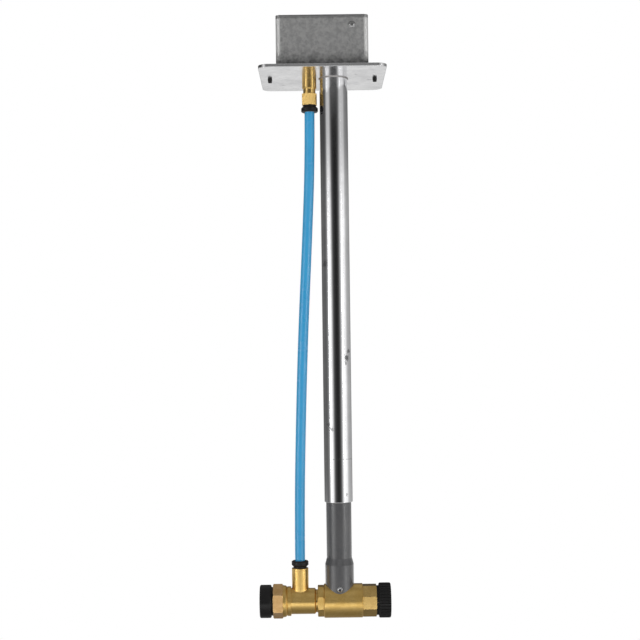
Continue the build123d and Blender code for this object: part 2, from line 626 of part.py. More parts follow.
# Lever handle and its screw
with BuildPart() as lever_handle:
    with BuildSketch(Plane.XY.offset(JOURNAL_TOP)):
        with Locations((TUBE_X, 0)):
            Circle(HANDLE_HUB_RADIUS)
    extrude(amount=HANDLE_HUB_HEIGHT)
    with BuildSketch(Plane.XY.offset(HUB_TOP - HANDLE_THICKNESS)):
        tip_x = TUBE_X + HANDLE_REACH - HANDLE_TIP_WIDTH / 2
        with BuildLine():
            Polyline((TUBE_X, -HANDLE_WIDTH / 2), (tip_x, -HANDLE_TIP_WIDTH / 2),
                     (tip_x, HANDLE_TIP_WIDTH / 2), (TUBE_X, HANDLE_WIDTH / 2), close=True)
        make_face()
        with Locations((tip_x, 0)):
            Circle(HANDLE_TIP_WIDTH / 2)
    extrude(amount=HANDLE_THICKNESS)
    fillet(lever_handle.faces().sort_by(Axis.Z)[-1].outer_wire().edges(), HANDLE_EDGE)
    square_hole = SPINDLE_SQUARE + 2 * SLIDING_GAP
    with BuildSketch(Plane.XY.offset(JOURNAL_TOP)):
        with Locations((TUBE_X, 0)):
            Rectangle(square_hole, square_hole)
    extrude(amount=HANDLE_HUB_HEIGHT - HANDLE_CAP, mode=Mode.SUBTRACT)
    upright_sleeve(TUBE_X, 0, HANDLE_SCREW_RADIUS + SLIDING_GAP, HUB_TOP - HANDLE_CAP, HUB_TOP,
                   mode=Mode.SUBTRACT)
lever_handle.part.label = "lever_handle"
export_step(lever_handle.part, "parts/lever_handle.step")

with BuildPart() as handle_screw:
    upright_sleeve(TUBE_X, 0, HANDLE_SCREW_RADIUS, HUB_TOP - HANDLE_SCREW_LENGTH, HUB_TOP)
    upright_sleeve(TUBE_X, 0, HANDLE_SCREW_HEAD, HUB_TOP, HUB_TOP + HANDLE_SCREW_HEAD_HEIGHT)
    fillet(handle_screw.edges().group_by(Axis.Z)[-1], HANDLE_SCREW_HEAD_HEIGHT / 3)
    with BuildSketch(Plane.XY.offset(HUB_TOP + HANDLE_SCREW_HEAD_HEIGHT)):
        with Locations((TUBE_X, 0)):
            RegularPolygon(HANDLE_SCREW_HEAD / 2, 6)
    extrude(amount=-HANDLE_SCREW_RECESS, mode=Mode.SUBTRACT)
handle_screw.part.label = "handle_screw"
export_step(handle_screw.part, "parts/handle_screw.step")

# Upper push-in fitting: round head against the plate, neck, hexagon round the socket, thread above
COLLET_RADIUS = PIPE_RADIUS + SLIDING_GAP + COLLET_WALL
SOCKET_RADIUS = COLLET_RADIUS + SLIDING_GAP
UPPER_MOUTH = -UPPER_BODY_LENGTH
with BuildPart() as bulkhead_body:
    upright_prism(RISER_X, UPPER_HEX_FLATS, 6, UPPER_MOUTH, UPPER_MOUTH + UPPER_HEX_HEIGHT,
                  FITTING_CHAMFER, turn=180 / 6)
    upright(RISER_X, [
        (0, 0),
        (UPPER_HEAD_RADIUS, 0),
        (UPPER_HEAD_RADIUS, -UPPER_HEAD_HEIGHT),
        (UPPER_NECK_RADIUS, -UPPER_HEAD_HEIGHT - UPPER_NECK_CONE),
        (UPPER_NECK_RADIUS, UPPER_MOUTH + UPPER_HEX_HEIGHT),
        (0, UPPER_MOUTH + UPPER_HEX_HEIGHT),
    ])
    upright_sleeve(RISER_X, 0, UPPER_THREAD_RADIUS, 0, UPPER_THREAD_TOP)
    upright_sleeve(RISER_X, 0, SOCKET_RADIUS, UPPER_MOUTH, UPPER_MOUTH + SOCKET_BORE_DEPTH,
                   mode=Mode.SUBTRACT)
    upright_sleeve(RISER_X, 0, PIPE_RADIUS + SLIDING_GAP, UPPER_MOUTH, UPPER_MOUTH + PIPE_STOP_DEPTH,
                   mode=Mode.SUBTRACT)
    upright_sleeve(RISER_X, 0, WATERWAY, UPPER_MOUTH, UPPER_THREAD_TOP, mode=Mode.SUBTRACT)
bulkhead_body.part.label = "bulkhead_body"
export_step(bulkhead_body.part, "parts/bulkhead_body.step")

NUT_BOTTOM = PLATE_THICKNESS + WASHER_THICKNESS
NUT_TOP = NUT_BOTTOM + TOP_NUT_HEIGHT
with BuildPart() as bulkhead_washer:
    upright_sleeve(RISER_X, UPPER_THREAD_RADIUS + SEATED_FIT, WASHER_RADIUS, PLATE_THICKNESS, NUT_BOTTOM)
bulkhead_washer.part.label = "bulkhead_washer"
export_step(bulkhead_washer.part, "parts/bulkhead_washer.step")

with BuildPart() as bulkhead_nut:
    upright_prism(RISER_X, TOP_NUT_FLATS, 6, NUT_BOTTOM, NUT_TOP, FITTING_CHAMFER)
    upright_sleeve(RISER_X, 0, UPPER_THREAD_RADIUS + SEATED_FIT, NUT_BOTTOM, NUT_TOP, mode=Mode.SUBTRACT)
bulkhead_nut.part.label = "bulkhead_nut"
export_step(bulkhead_nut.part, "parts/bulkhead_nut.step")

# Hose spigot screwed on the fitting's thread, and its sealing ring
HEX_TOP = NUT_TOP + SPIGOT_HEX_HEIGHT
CATCH_BOTTOM = HEX_TOP + SPIGOT_SHANK_HEIGHT
CATCH_TOP = CATCH_BOTTOM + SPIGOT_CATCH_HEIGHT
SPIGOT_TOP = CATCH_TOP + SPIGOT_BARREL_HEIGHT
GROOVE_TOP = SPIGOT_TOP - SPIGOT_GROOVE_FROM_TOP
GROOVE_BOTTOM = GROOVE_TOP - SPIGOT_GROOVE_HEIGHT
GROOVE_RADIUS = SPIGOT_BARREL_RADIUS - 2 * SPIGOT_RING_WIRE - SEATED_FIT
with BuildPart() as hose_spigot:
    upright_prism(RISER_X, TOP_NUT_FLATS, 6, NUT_TOP, HEX_TOP, FITTING_CHAMFER)
    upright(RISER_X, [
        (0, HEX_TOP),
        (SPIGOT_SHANK_RADIUS, HEX_TOP),
        (SPIGOT_SHANK_RADIUS, CATCH_BOTTOM),
        (SPIGOT_CATCH_RADIUS, CATCH_BOTTOM + SPIGOT_CATCH_EDGE),
        (SPIGOT_CATCH_RADIUS, CATCH_TOP - SPIGOT_CATCH_SLOPE),
        (SPIGOT_BARREL_RADIUS, CATCH_TOP),
        (SPIGOT_BARREL_RADIUS, GROOVE_BOTTOM),
        (GROOVE_RADIUS, GROOVE_BOTTOM),
        (GROOVE_RADIUS, GROOVE_TOP),
        (SPIGOT_BARREL_RADIUS, GROOVE_TOP),
        (SPIGOT_BARREL_RADIUS, SPIGOT_TOP - SPIGOT_CHAMFER),
        (SPIGOT_BARREL_RADIUS - SPIGOT_CHAMFER, SPIGOT_TOP),
        (0, SPIGOT_TOP),
    ])
    upright_sleeve(RISER_X, 0, UPPER_THREAD_RADIUS + SEATED_FIT, NUT_TOP, UPPER_THREAD_TOP + THREAD_RUNOUT,
                   mode=Mode.SUBTRACT)
    upright_sleeve(RISER_X, 0, SPIGOT_BORE, UPPER_THREAD_TOP, SPIGOT_TOP, mode=Mode.SUBTRACT)
hose_spigot.part.label = "hose_spigot"
export_step(hose_spigot.part, "parts/hose_spigot.step")

with BuildPart() as spigot_ring:
    wire_ring(RISER_AXIS, (RISER_X + SPIGOT_BARREL_RADIUS - SPIGOT_RING_WIRE,
                           (GROOVE_BOTTOM + GROOVE_TOP) / 2), SPIGOT_RING_WIRE)
spigot_ring.part.label = "spigot_ring"
export_step(spigot_ring.part, "parts/spigot_ring.step")


def pipe_seal(x, mouth, inward):
    """The sealing ring round the riser pipe; inward is +1 where the socket runs up from its mouth."""
    wire_ring(Axis((x, 0, 0), (0, 0, 1)),
              (x + PIPE_RADIUS + SLIDING_GAP + SEAL_WIRE, mouth + inward * (SEAL_DEPTH + SEAL_GROOVE / 2)),
              SEAL_WIRE)


def collet(x, mouth, inward):
    """A release collet: slit legs inside the socket, flared rim outside it."""
    inner = PIPE_RADIUS + SLIDING_GAP
    neck = COLLET_TRAVEL + SLIDING_GAP
    upright(x, [
        (inner, mouth + inward * COLLET_LEG_DEPTH),
        (COLLET_RADIUS, mouth + inward * COLLET_LEG_DEPTH),
        (COLLET_RADIUS, mouth - inward * neck),
        (COLLET_RADIUS + COLLET_STEP, mouth - inward * neck),
        (COLLET_RIM_RADIUS, mouth - inward * (COLLET_OUTSIDE - COLLET_RIM)),
        (COLLET_RIM_RADIUS, mouth - inward * (COLLET_OUTSIDE - COLLET_ROUNDING)),
        (COLLET_RIM_RADIUS - COLLET_ROUNDING, mouth - inward * COLLET_OUTSIDE),
        (inner + COLLET_STEP, mouth - inward * COLLET_OUTSIDE),
        (inner, mouth - inward * (COLLET_OUTSIDE - COLLET_STEP)),
    ])
    with BuildSketch(Plane.XY.offset(mouth)) as slits:
        with Locations((x, 0)):
            Rectangle(2 * COLLET_RADIUS + CUT_PAST, COLLET_SLIT)
            Rectangle(COLLET_SLIT, 2 * COLLET_RADIUS + CUT_PAST)
    extrude(slits.sketch, amount=inward * COLLET_LEG_DEPTH, mode=Mode.SUBTRACT)


LOWER_MOUTH = AXIS_Z + BRANCH_RISE
with BuildPart() as upper_pipe_seal:
    pipe_seal(RISER_X, UPPER_MOUTH, 1)
upper_pipe_seal.part.label = "upper_pipe_seal"
export_step(upper_pipe_seal.part, "parts/upper_pipe_seal.step")

with BuildPart() as lower_pipe_seal:
    pipe_seal(BRANCH_X, LOWER_MOUTH, -1)
lower_pipe_seal.part.label = "lower_pipe_seal"
export_step(lower_pipe_seal.part, "parts/lower_pipe_seal.step")

with BuildPart() as upper_collet:
    collet(RISER_X, UPPER_MOUTH, 1)
upper_collet.part.label = "upper_collet"
export_step(upper_collet.part, "parts/upper_collet.step")

with BuildPart() as lower_collet:
    collet(BRANCH_X, LOWER_MOUTH, -1)
lower_collet.part.label = "lower_collet"
export_step(lower_collet.part, "parts/lower_collet.step")

# Riser pipe: straight out of both fittings, one gentle S between them
RISER_ROUTE = [
    (RISER_X, UPPER_MOUTH + PIPE_INSERTION),
    (RISER_X, -76.0),
    (-17.3, -164.0),
    (-22.4, -256.0),
    (-25.8, -346.0),
    (BRANCH_X, -436.0),
    (BRANCH_X, LOWER_MOUTH - PIPE_INSERTION),
]


def bend_radii(route):
    """The largest tangent arc at each corner: 0.45 of the shorter run over the tangent of half the turn."""
    points = [Vector(x, 0, z) for x, z in route]
    radii = []
    for before, corner, after in zip(points, points[1:], points[2:]):
        run_in = corner - before
        run_out = after - corner
        half_turn = math.radians(run_in.get_angle(run_out) / 2)
        radii.append(0.45 * min(run_in.length, run_out.length) / math.tan(half_turn))
    return radii


riser_radii = bend_radii(RISER_ROUTE)
with BuildPart() as riser_pipe:
    with BuildLine() as riser_line:
        FilletPolyline(*[(x, 0, z) for x, z in RISER_ROUTE], radius=riser_radii)
    with BuildSketch(Plane.XY.offset(UPPER_MOUTH + PIPE_INSERTION)):
        with Locations((RISER_X, 0)):
            Circle(PIPE_RADIUS)
            Circle(PIPE_BORE, mode=Mode.SUBTRACT)
    sweep(path=riser_line.wires()[0])
riser_pipe.part.label = "riser_pipe"
export_step(riser_pipe.part, "parts/riser_pipe.step")
riser_length = riser_line.wires()[0].length
riser_section = math.pi * (PIPE_RADIUS ** 2 - PIPE_BORE ** 2)
print("riser radii", [round(radius) for radius in riser_radii], "length", round(riser_length, 1),
      "volume over section times length", round(riser_pipe.part.volume / (riser_section * riser_length), 4))

# Inner pipe, belled over the valve's boss and cut to sit on the valve body
RING_TOP = -INNER_TOP - FRICTION_RING_DOWN
RING_BOTTOM = RING_TOP - FRICTION_RING_HEIGHT
RING_SEAT = INNER_RADIUS - FRICTION_RING_DEPTH
PIPE_SCREW_Z = AXIS_Z + PIPE_SCREW_RISE
with BuildPart() as inner_pipe:
    upright(TUBE_X, [
        (INNER_BORE, -INNER_TOP),
        (INNER_RADIUS, -INNER_TOP),
        (INNER_RADIUS, RING_TOP),
        (RING_SEAT, RING_TOP),
        (RING_SEAT, RING_BOTTOM),
        (INNER_RADIUS, RING_BOTTOM),
        (INNER_RADIUS, AXIS_Z + BELL_SHOULDER_TOP),
        (BELL_RADIUS, AXIS_Z + BELL_SHOULDER_BOTTOM),
        (BELL_RADIUS, AXIS_Z),
        (BELL_BORE, AXIS_Z),
        (BELL_BORE, AXIS_Z + BELL_SHOULDER_BOTTOM),
        (INNER_BORE, AXIS_Z + BELL_SHOULDER_TOP),
    ])
    lengthwise_sleeve(0, VALVE_RADIUS + SEATED_FIT, TUBE_X - BELL_RADIUS - CUT_PAST,
                      TUBE_X + BELL_RADIUS + CUT_PAST, mode=Mode.SUBTRACT)
    with BuildSketch(Plane.XZ):
        with Locations((TUBE_X, PIPE_SCREW_Z)):
            Circle(PIPE_SCREW_RADIUS + SEATED_FIT)
    extrude(amount=BELL_RADIUS + CUT_PAST, mode=Mode.SUBTRACT)
inner_pipe.part.label = "inner_pipe"
export_step(inner_pipe.part, "parts/inner_pipe.step")

with BuildPart() as friction_ring:
    upright(TUBE_X, [
        (RING_SEAT + SEATED_FIT, RING_BOTTOM + SEATED_FIT),
        (TUBE_BORE - SEATED_FIT, RING_BOTTOM + SEATED_FIT + FRICTION_RING_EDGE),
        (TUBE_BORE - SEATED_FIT, RING_TOP - SEATED_FIT - FRICTION_RING_EDGE),
        (RING_SEAT + SEATED_FIT, RING_TOP - SEATED_FIT),
    ])
friction_ring.part.label = "friction_ring"
export_step(friction_ring.part, "parts/friction_ring.step")

with BuildPart() as pipe_screw:
    screw_front = -BELL_RADIUS - SEATED_FIT
    with BuildSketch(Plane.YZ.offset(TUBE_X)):
        with BuildLine():
            Polyline((screw_front + PIPE_SCREW_LENGTH, PIPE_SCREW_Z),
                     (screw_front + PIPE_SCREW_LENGTH - PIPE_SCREW_RADIUS, PIPE_SCREW_Z + PIPE_SCREW_RADIUS),
                     (screw_front, PIPE_SCREW_Z + PIPE_SCREW_RADIUS),
                     (screw_front, PIPE_SCREW_Z + PIPE_SCREW_HEAD),
                     (screw_front - PIPE_SCREW_HEAD_HEIGHT / 2, PIPE_SCREW_Z + PIPE_SCREW_HEAD),
                     (screw_front - PIPE_SCREW_HEAD_HEIGHT, PIPE_SCREW_Z + PIPE_SCREW_CROWN),
                     (screw_front - PIPE_SCREW_HEAD_HEIGHT, PIPE_SCREW_Z), close=True)
        make_face()
    revolve(axis=Axis((TUBE_X, 0, PIPE_SCREW_Z), (0, 1, 0)))
    with BuildSketch(Plane(origin=(TUBE_X, screw_front - PIPE_SCREW_HEAD_HEIGHT, PIPE_SCREW_Z),
                           x_dir=(1, 0, 0), z_dir=(0, 1, 0))):
        Rectangle(PIPE_SCREW_SLOT_LENGTH, PIPE_SCREW_SLOT)
        Rectangle(PIPE_SCREW_SLOT, PIPE_SCREW_SLOT_LENGTH)
    extrude(amount=PIPE_SCREW_HEAD_HEIGHT / 2, mode=Mode.SUBTRACT)
pipe_screw.part.label = "pipe_screw"
export_step(pipe_screw.part, "parts/pipe_screw.step")

# Valve body: octagonal left end, round body, boss for the stem
BODY_LEFT = TUBE_X - VALVE_LEFT_LENGTH
BODY_ROUND_LEFT = TUBE_X - VALVE_LEFT_ROUND
BODY_RIGHT = TUBE_X + VALVE_RIGHT_ROUND
BOSS_TOP = AXIS_Z + BOSS_RISE
STEM_BORE = STEM_RADIUS + TURNING_FIT
STEM_FLANGE_BOTTOM = AXIS_Z + SEAT_RADIUS + MOVING_GAP
STEM_FLANGE_TOP = STEM_FLANGE_BOTTOM + STEM_FLANGE_HEIGHT
with BuildPart() as valve_body:
    lengthwise([
        (BODY_ROUND_LEFT, 0),
        (BODY_ROUND_LEFT, VALVE_RADIUS - VALVE_CHAMFER),
        (BODY_ROUND_LEFT + VALVE_CHAMFER, VALVE_RADIUS),
        (BODY_RIGHT - VALVE_CHAMFER / 2, VALVE_RADIUS),
        (BODY_RIGHT, VALVE_RADIUS - VALVE_CHAMFER / 2),
        (BODY_RIGHT, 0),
    ])
    lengthwise_prism(VALVE_LEFT_FLATS, 8, BODY_LEFT, BODY_ROUND_LEFT, VALVE_CHAMFER)
    upright_sleeve(TUBE_X, 0, BOSS_RADIUS, AXIS_Z, BOSS_TOP)
    lengthwise_sleeve(0, NIPPLE_RADIUS + SEATED_FIT, BODY_LEFT, BODY_LEFT + NIPPLE_IN_VALVE + THREAD_RUNOUT,
                      mode=Mode.SUBTRACT)
    lengthwise_sleeve(0, BALL_BORE, BODY_LEFT, TUBE_X, mode=Mode.SUBTRACT)
    lengthwise_sleeve(0, SEAT_RADIUS + SEATED_FIT, TUBE_X - SEAT_OUTER_FACE, TUBE_X + SEAT_OUTER_FACE,
                      mode=Mode.SUBTRACT)
    lengthwise_sleeve(0, VALVE_END_SPIGOT + SEATED_FIT, TUBE_X + SEAT_OUTER_FACE, BODY_RIGHT,
                      mode=Mode.SUBTRACT)
    upright_sleeve(TUBE_X, 0, STEM_FLANGE_RADIUS + SLIDING_GAP, AXIS_Z,
                   STEM_FLANGE_TOP + SLIDING_GAP, mode=Mode.SUBTRACT)
    upright_sleeve(TUBE_X, 0, STEM_BORE, AXIS_Z, BOSS_TOP, mode=Mode.SUBTRACT)
    upright_sleeve(TUBE_X, 0, GLAND_SPIGOT_RADIUS + SEATED_FIT, BOSS_TOP - GLAND_SPIGOT_DEPTH - THREAD_RUNOUT,
                   BOSS_TOP, mode=Mode.SUBTRACT)
    screw_tip = BELL_RADIUS + SEATED_FIT - PIPE_SCREW_LENGTH
    with BuildSketch(Plane.XZ.offset(screw_tip - THREAD_RUNOUT)):
        with Locations((TUBE_X, PIPE_SCREW_Z)):
            Circle(PIPE_SCREW_RADIUS + SEATED_FIT)
    extrude(amount=PIPE_SCREW_LENGTH, mode=Mode.SUBTRACT)
valve_body.part.label = "valve_body"
export_step(valve_body.part, "parts/valve_body.step")

# Octagonal valve end, screwed into the body against the right seat, and its sealing ring
VALVE_END_RIGHT = BODY_RIGHT + VALVE_END_LENGTH
SPIGOT_LEFT = TUBE_X + SEAT_OUTER_FACE
END_SEAL_X = SPIGOT_LEFT + VALVE_END_WEB / 2
END_SEAL_CENTRE = VALVE_END_SPIGOT - END_SEAL_WIRE
with BuildPart() as valve_end:
    lengthwise_prism(VALVE_END_FLATS, 8, BODY_RIGHT, VALVE_END_RIGHT, VALVE_CHAMFER)
    lengthwise_sleeve(0, VALVE_END_SPIGOT, SPIGOT_LEFT, BODY_RIGHT)
    lengthwise_sleeve(END_SEAL_CENTRE - END_SEAL_WIRE - SEATED_FIT, VALVE_END_SPIGOT + CUT_PAST,
                      END_SEAL_X - END_SEAL_WIRE * 1.2, END_SEAL_X + END_SEAL_WIRE * 1.2, mode=Mode.SUBTRACT)
    lengthwise_sleeve(0, BALL_BORE, SPIGOT_LEFT, VALVE_END_RIGHT, mode=Mode.SUBTRACT)
    lengthwise_sleeve(0, PORT_THREAD_RADIUS + TURNING_FIT, SPIGOT_LEFT + VALVE_END_WEB, VALVE_END_RIGHT,
                      mode=Mode.SUBTRACT)
valve_end.part.label = "valve_end"
export_step(valve_end.part, "parts/valve_end.step")

with BuildPart() as valve_end_seal:
    wire_ring(RUN_AXIS, (END_SEAL_X, AXIS_Z + END_SEAL_CENTRE), END_SEAL_WIRE)
valve_end_seal.part.label = "valve_end_seal"
export_step(valve_end_seal.part, "parts/valve_end_seal.step")

# Ball and its two seats; the ball's bore lies across the run, so the valve is shut
CUP_RADIUS = BALL_RADIUS + TURNING_FIT
with BuildPart() as valve_seats:
    cup_middle = math.radians(SEAT_CUP_MIDDLE)
    for side in (-1, 1):
        cup_points = []
        for radius, reach in (
            (math.sqrt(CUP_RADIUS ** 2 - SEAT_INNER_FACE ** 2), SEAT_INNER_FACE),
            (CUP_RADIUS * math.sin(cup_middle), CUP_RADIUS * math.cos(cup_middle)),
            (SEAT_BORE, math.sqrt(CUP_RADIUS ** 2 - SEAT_BORE ** 2)),
        ):
            cup_points.append((TUBE_X + side * reach, AXIS_Z + radius))
        seat_back = TUBE_X + side * SEAT_OUTER_FACE
        with BuildSketch(Plane.XZ):
            with BuildLine():
                ThreePointArc(*cup_points)
                Polyline(cup_points[2], (seat_back, AXIS_Z + SEAT_BORE), (seat_back, AXIS_Z + SEAT_RADIUS),
                         (TUBE_X + side * SEAT_INNER_FACE, AXIS_Z + SEAT_RADIUS), cup_points[0])
            make_face()
        revolve(axis=RUN_AXIS)
valve_seats.part.label = "valve_seats"
export_step(valve_seats.part, "parts/valve_seats.step")

TONGUE_GAP = SLIDING_GAP
with BuildPart() as valve_ball:
    with Locations((TUBE_X, 0, AXIS_Z)):
        Sphere(BALL_RADIUS)
    with BuildSketch(Plane.XZ):
        with Locations((TUBE_X, AXIS_Z)):
            Circle(BALL_BORE)
    extrude(amount=BALL_RADIUS, both=True, mode=Mode.SUBTRACT)
    with BuildSketch(Plane.XY.offset(AXIS_Z + STEM_TONGUE_BOTTOM - TONGUE_GAP)):
        with Locations((TUBE_X, 0)):
            Rectangle(STEM_TONGUE_WIDTH + 2 * TONGUE_GAP, 2 * BALL_RADIUS)
    extrude(amount=BALL_RADIUS, mode=Mode.SUBTRACT)
valve_ball.part.label = "valve_ball"
export_step(valve_ball.part, "parts/valve_ball.step")

# Valve stem with a tongue in the ball's slot, and its two sealing rings
COUPLER_PIN_Z = AXIS_Z + (COUPLER_BOTTOM + STEM_TOP) / 2
RING_CENTRE = STEM_BORE - TURNING_FIT - STEM_RING_WIRE
with BuildPart() as valve_stem:
    upright_sleeve(TUBE_X, 0, STEM_RADIUS, STEM_FLANGE_TOP, AXIS_Z + STEM_TOP)
    upright_sleeve(TUBE_X, 0, STEM_FLANGE_RADIUS, STEM_FLANGE_BOTTOM, STEM_FLANGE_TOP)
    for rise in STEM_RING_RISES:
        upright_sleeve(TUBE_X, RING_CENTRE - STEM_RING_WIRE - SEATED_FIT, STEM_RADIUS + CUT_PAST,
                       AXIS_Z + rise - STEM_RING_WIRE * 1.2, AXIS_Z + rise + STEM_RING_WIRE * 1.2,
                       mode=Mode.SUBTRACT)
    with BuildSketch(Plane.XY.offset(AXIS_Z + STEM_TONGUE_BOTTOM)):
        with Locations((TUBE_X, 0)):
            Rectangle(STEM_TONGUE_WIDTH, STEM_TONGUE_LENGTH)
    extrude(amount=STEM_FLANGE_BOTTOM - AXIS_Z - STEM_TONGUE_BOTTOM)
    with BuildSketch(Plane.XZ):
        with Locations((TUBE_X, COUPLER_PIN_Z)):
            Circle(CROSS_PIN_RADIUS + SEATED_FIT)
    extrude(amount=STEM_RADIUS, both=True, mode=Mode.SUBTRACT)
valve_stem.part.label = "valve_stem"
export_step(valve_stem.part, "parts/valve_stem.step")

with BuildPart() as stem_rings:
    for rise in STEM_RING_RISES:
        wire_ring(TUBE_AXIS, (TUBE_X + RING_CENTRE, AXIS_Z + rise), STEM_RING_WIRE)
stem_rings.part.label = "stem_rings"
export_step(stem_rings.part, "parts/stem_rings.step")

with BuildPart() as gland_nut:
    upright_prism(TUBE_X, GLAND_FLATS, 6, BOSS_TOP, BOSS_TOP + GLAND_HEIGHT, FITTING_CHAMFER)
    upright_sleeve(TUBE_X, 0, GLAND_SPIGOT_RADIUS, BOSS_TOP - GLAND_SPIGOT_DEPTH, BOSS_TOP)
    upright_sleeve(TUBE_X, 0, STEM_BORE, BOSS_TOP - GLAND_SPIGOT_DEPTH, BOSS_TOP + GLAND_HEIGHT,
                   mode=Mode.SUBTRACT)
gland_nut.part.label = "gland_nut"
export_step(gland_nut.part, "parts/gland_nut.step")

# Coupler and cross pin between the stem and the drive bar
with BuildPart() as drive_coupler:
    upright_sleeve(TUBE_X, 0, COUPLER_RADIUS, AXIS_Z + COUPLER_BOTTOM, AXIS_Z + COUPLER_TOP)
    upright_sleeve(TUBE_X, 0, STEM_RADIUS + SEATED_FIT, AXIS_Z + COUPLER_BOTTOM, AXIS_Z + STEM_TOP,
                   mode=Mode.SUBTRACT)
    with BuildSketch(Plane.XY.offset(AXIS_Z + COUPLER_FLOOR)):
        with Locations((TUBE_X, 0)):
            Rectangle(BAR_WIDTH + 2 * SEATED_FIT, BAR_WIDTH + 2 * SEATED_FIT)
    extrude(amount=COUPLER_TOP - COUPLER_FLOOR, mode=Mode.SUBTRACT)
    with BuildSketch(Plane.XZ):
        with Locations((TUBE_X, COUPLER_PIN_Z)):
            Circle(CROSS_PIN_RADIUS + SEATED_FIT)
    extrude(amount=COUPLER_RADIUS, both=True, mode=Mode.SUBTRACT)
drive_coupler.part.label = "drive_coupler"
export_step(drive_coupler.part, "parts/drive_coupler.step")

with BuildPart() as coupler_pin:
    with BuildSketch(Plane.XZ):
        with Locations((TUBE_X, COUPLER_PIN_Z)):
            Circle(CROSS_PIN_RADIUS)
    extrude(amount=COUPLER_RADIUS - MOVING_GAP, both=True)
coupler_pin.part.label = "coupler_pin"
export_step(coupler_pin.part, "parts/coupler_pin.step")

with BuildPart() as drive_bar:
    with BuildSketch(Plane.XY.offset(AXIS_Z + COUPLER_FLOOR)):
        with Locations((TUBE_X, 0)):
            RectangleRounded(BAR_WIDTH, BAR_WIDTH, BAR_CORNER)
    extrude(amount=AXIS_DEPTH - COUPLER_FLOOR - BAR_TOP_DEPTH)
    chamfer(drive_bar.faces().sort_by(Axis.Z)[-1].edges(), BAR_CORNER)
drive_bar.part.label = "drive_bar"
export_step(drive_bar.part, "parts/drive_bar.step")

# Tee: threaded left end, collar with a bead, round run and upright branch
TEE_RIGHT_X = BRANCH_X + TEE_RIGHT
COLLAR_RIGHT_X = BRANCH_X - TEE_COLLAR_RIGHT
COLLAR_LEFT_X = BRANCH_X - TEE_COLLAR_LEFT
TEE_LEFT_X = COLLAR_LEFT_X - TEE_THREAD_LENGTH
COLLAR_WAIST_X = COLLAR_RIGHT_X - TEE_BEAD_WIDTH
with BuildPart() as tee_body:
    lengthwise([
        (TEE_LEFT_X, 0),
        (TEE_LEFT_X, TEE_THREAD_RADIUS - THREAD_LEAD),
        (TEE_LEFT_X + THREAD_LEAD, TEE_THREAD_RADIUS),
        (COLLAR_LEFT_X, TEE_THREAD_RADIUS),
        (COLLAR_LEFT_X, TEE_COLLAR_RADIUS),
        (COLLAR_WAIST_X - TEE_WAIST_LEFT, TEE_COLLAR_RADIUS - TEE_COLLAR_FALL),
        (COLLAR_WAIST_X - TEE_WAIST_RIGHT, TEE_BEAD_RADIUS - TEE_WAIST_FALL),
        (COLLAR_WAIST_X, TEE_BEAD_RADIUS),
        (COLLAR_RIGHT_X, TEE_BEAD_RADIUS),
        (COLLAR_RIGHT_X + TEE_BEAD_EDGE, TEE_RADIUS),
        (TEE_RIGHT_X - TEE_CHAMFER, TEE_RADIUS),
        (TEE_RIGHT_X, TEE_RADIUS - TEE_CHAMFER),
        (TEE_RIGHT_X, 0),
    ])
    before_branch = tee_body.edges()
    upright_sleeve(BRANCH_X, 0, BRANCH_RADIUS, AXIS_Z, LOWER_MOUTH)
    saddle = [edge for edge in tee_body.edges() - before_branch
              if edge.center().Z < LOWER_MOUTH - CUT_PAST and edge.geom_type != GeomType.LINE]
    fillet(saddle, BRANCH_FILLET)
    chamfer(tee_body.edges().group_by(Axis.Z)[-1], MOUTH_CHAMFER)
    lengthwise_sleeve(0, NIPPLE_RADIUS + SEATED_FIT, TEE_RIGHT_X - NIPPLE_IN_TEE - THREAD_RUNOUT, TEE_RIGHT_X,
                      mode=Mode.SUBTRACT)
    lengthwise_sleeve(0, TEE_BORE, TEE_LEFT_X, TEE_RIGHT_X, mode=Mode.SUBTRACT)
    lengthwise_sleeve(0, PORT_PIPE_RADIUS + PORT_SOCKET_GAP, TEE_LEFT_X, TEE_LEFT_X + PORT_SOCKET_DEPTH,
                      mode=Mode.SUBTRACT)
    lengthwise_sleeve(0, CHAMBER_RADIUS, TEE_LEFT_X, TEE_LEFT_X + CHAMBER_DEPTH, mode=Mode.SUBTRACT)
    upright_sleeve(BRANCH_X, 0, SOCKET_RADIUS, LOWER_MOUTH - SOCKET_BORE_DEPTH, LOWER_MOUTH,
                   mode=Mode.SUBTRACT)
    upright_sleeve(BRANCH_X, 0, PIPE_RADIUS + SLIDING_GAP, LOWER_MOUTH - PIPE_STOP_DEPTH, LOWER_MOUTH,
                   mode=Mode.SUBTRACT)
    upright_sleeve(BRANCH_X, 0, WATERWAY, AXIS_Z, LOWER_MOUTH, mode=Mode.SUBTRACT)
tee_body.part.label = "tee_body"
export_step(tee_body.part, "parts/tee_body.step")

# Nipple between tee and valve
with BuildPart() as run_nipple:
    lengthwise([
        (TEE_RIGHT_X - NIPPLE_IN_TEE, NIPPLE_BORE),
        (TEE_RIGHT_X - NIPPLE_IN_TEE, NIPPLE_RADIUS),
        (TEE_RIGHT_X, NIPPLE_RADIUS),
        (TEE_RIGHT_X, NIPPLE_COLLAR_RADIUS),
        (BODY_LEFT, NIPPLE_COLLAR_RADIUS),
        (BODY_LEFT, NIPPLE_RADIUS),
        (BODY_LEFT + NIPPLE_IN_VALVE, NIPPLE_RADIUS),
        (BODY_LEFT + NIPPLE_IN_VALVE, NIPPLE_BORE),
    ])
run_nipple.part.label = "run_nipple"
export_step(run_nipple.part, "parts/run_nipple.step")

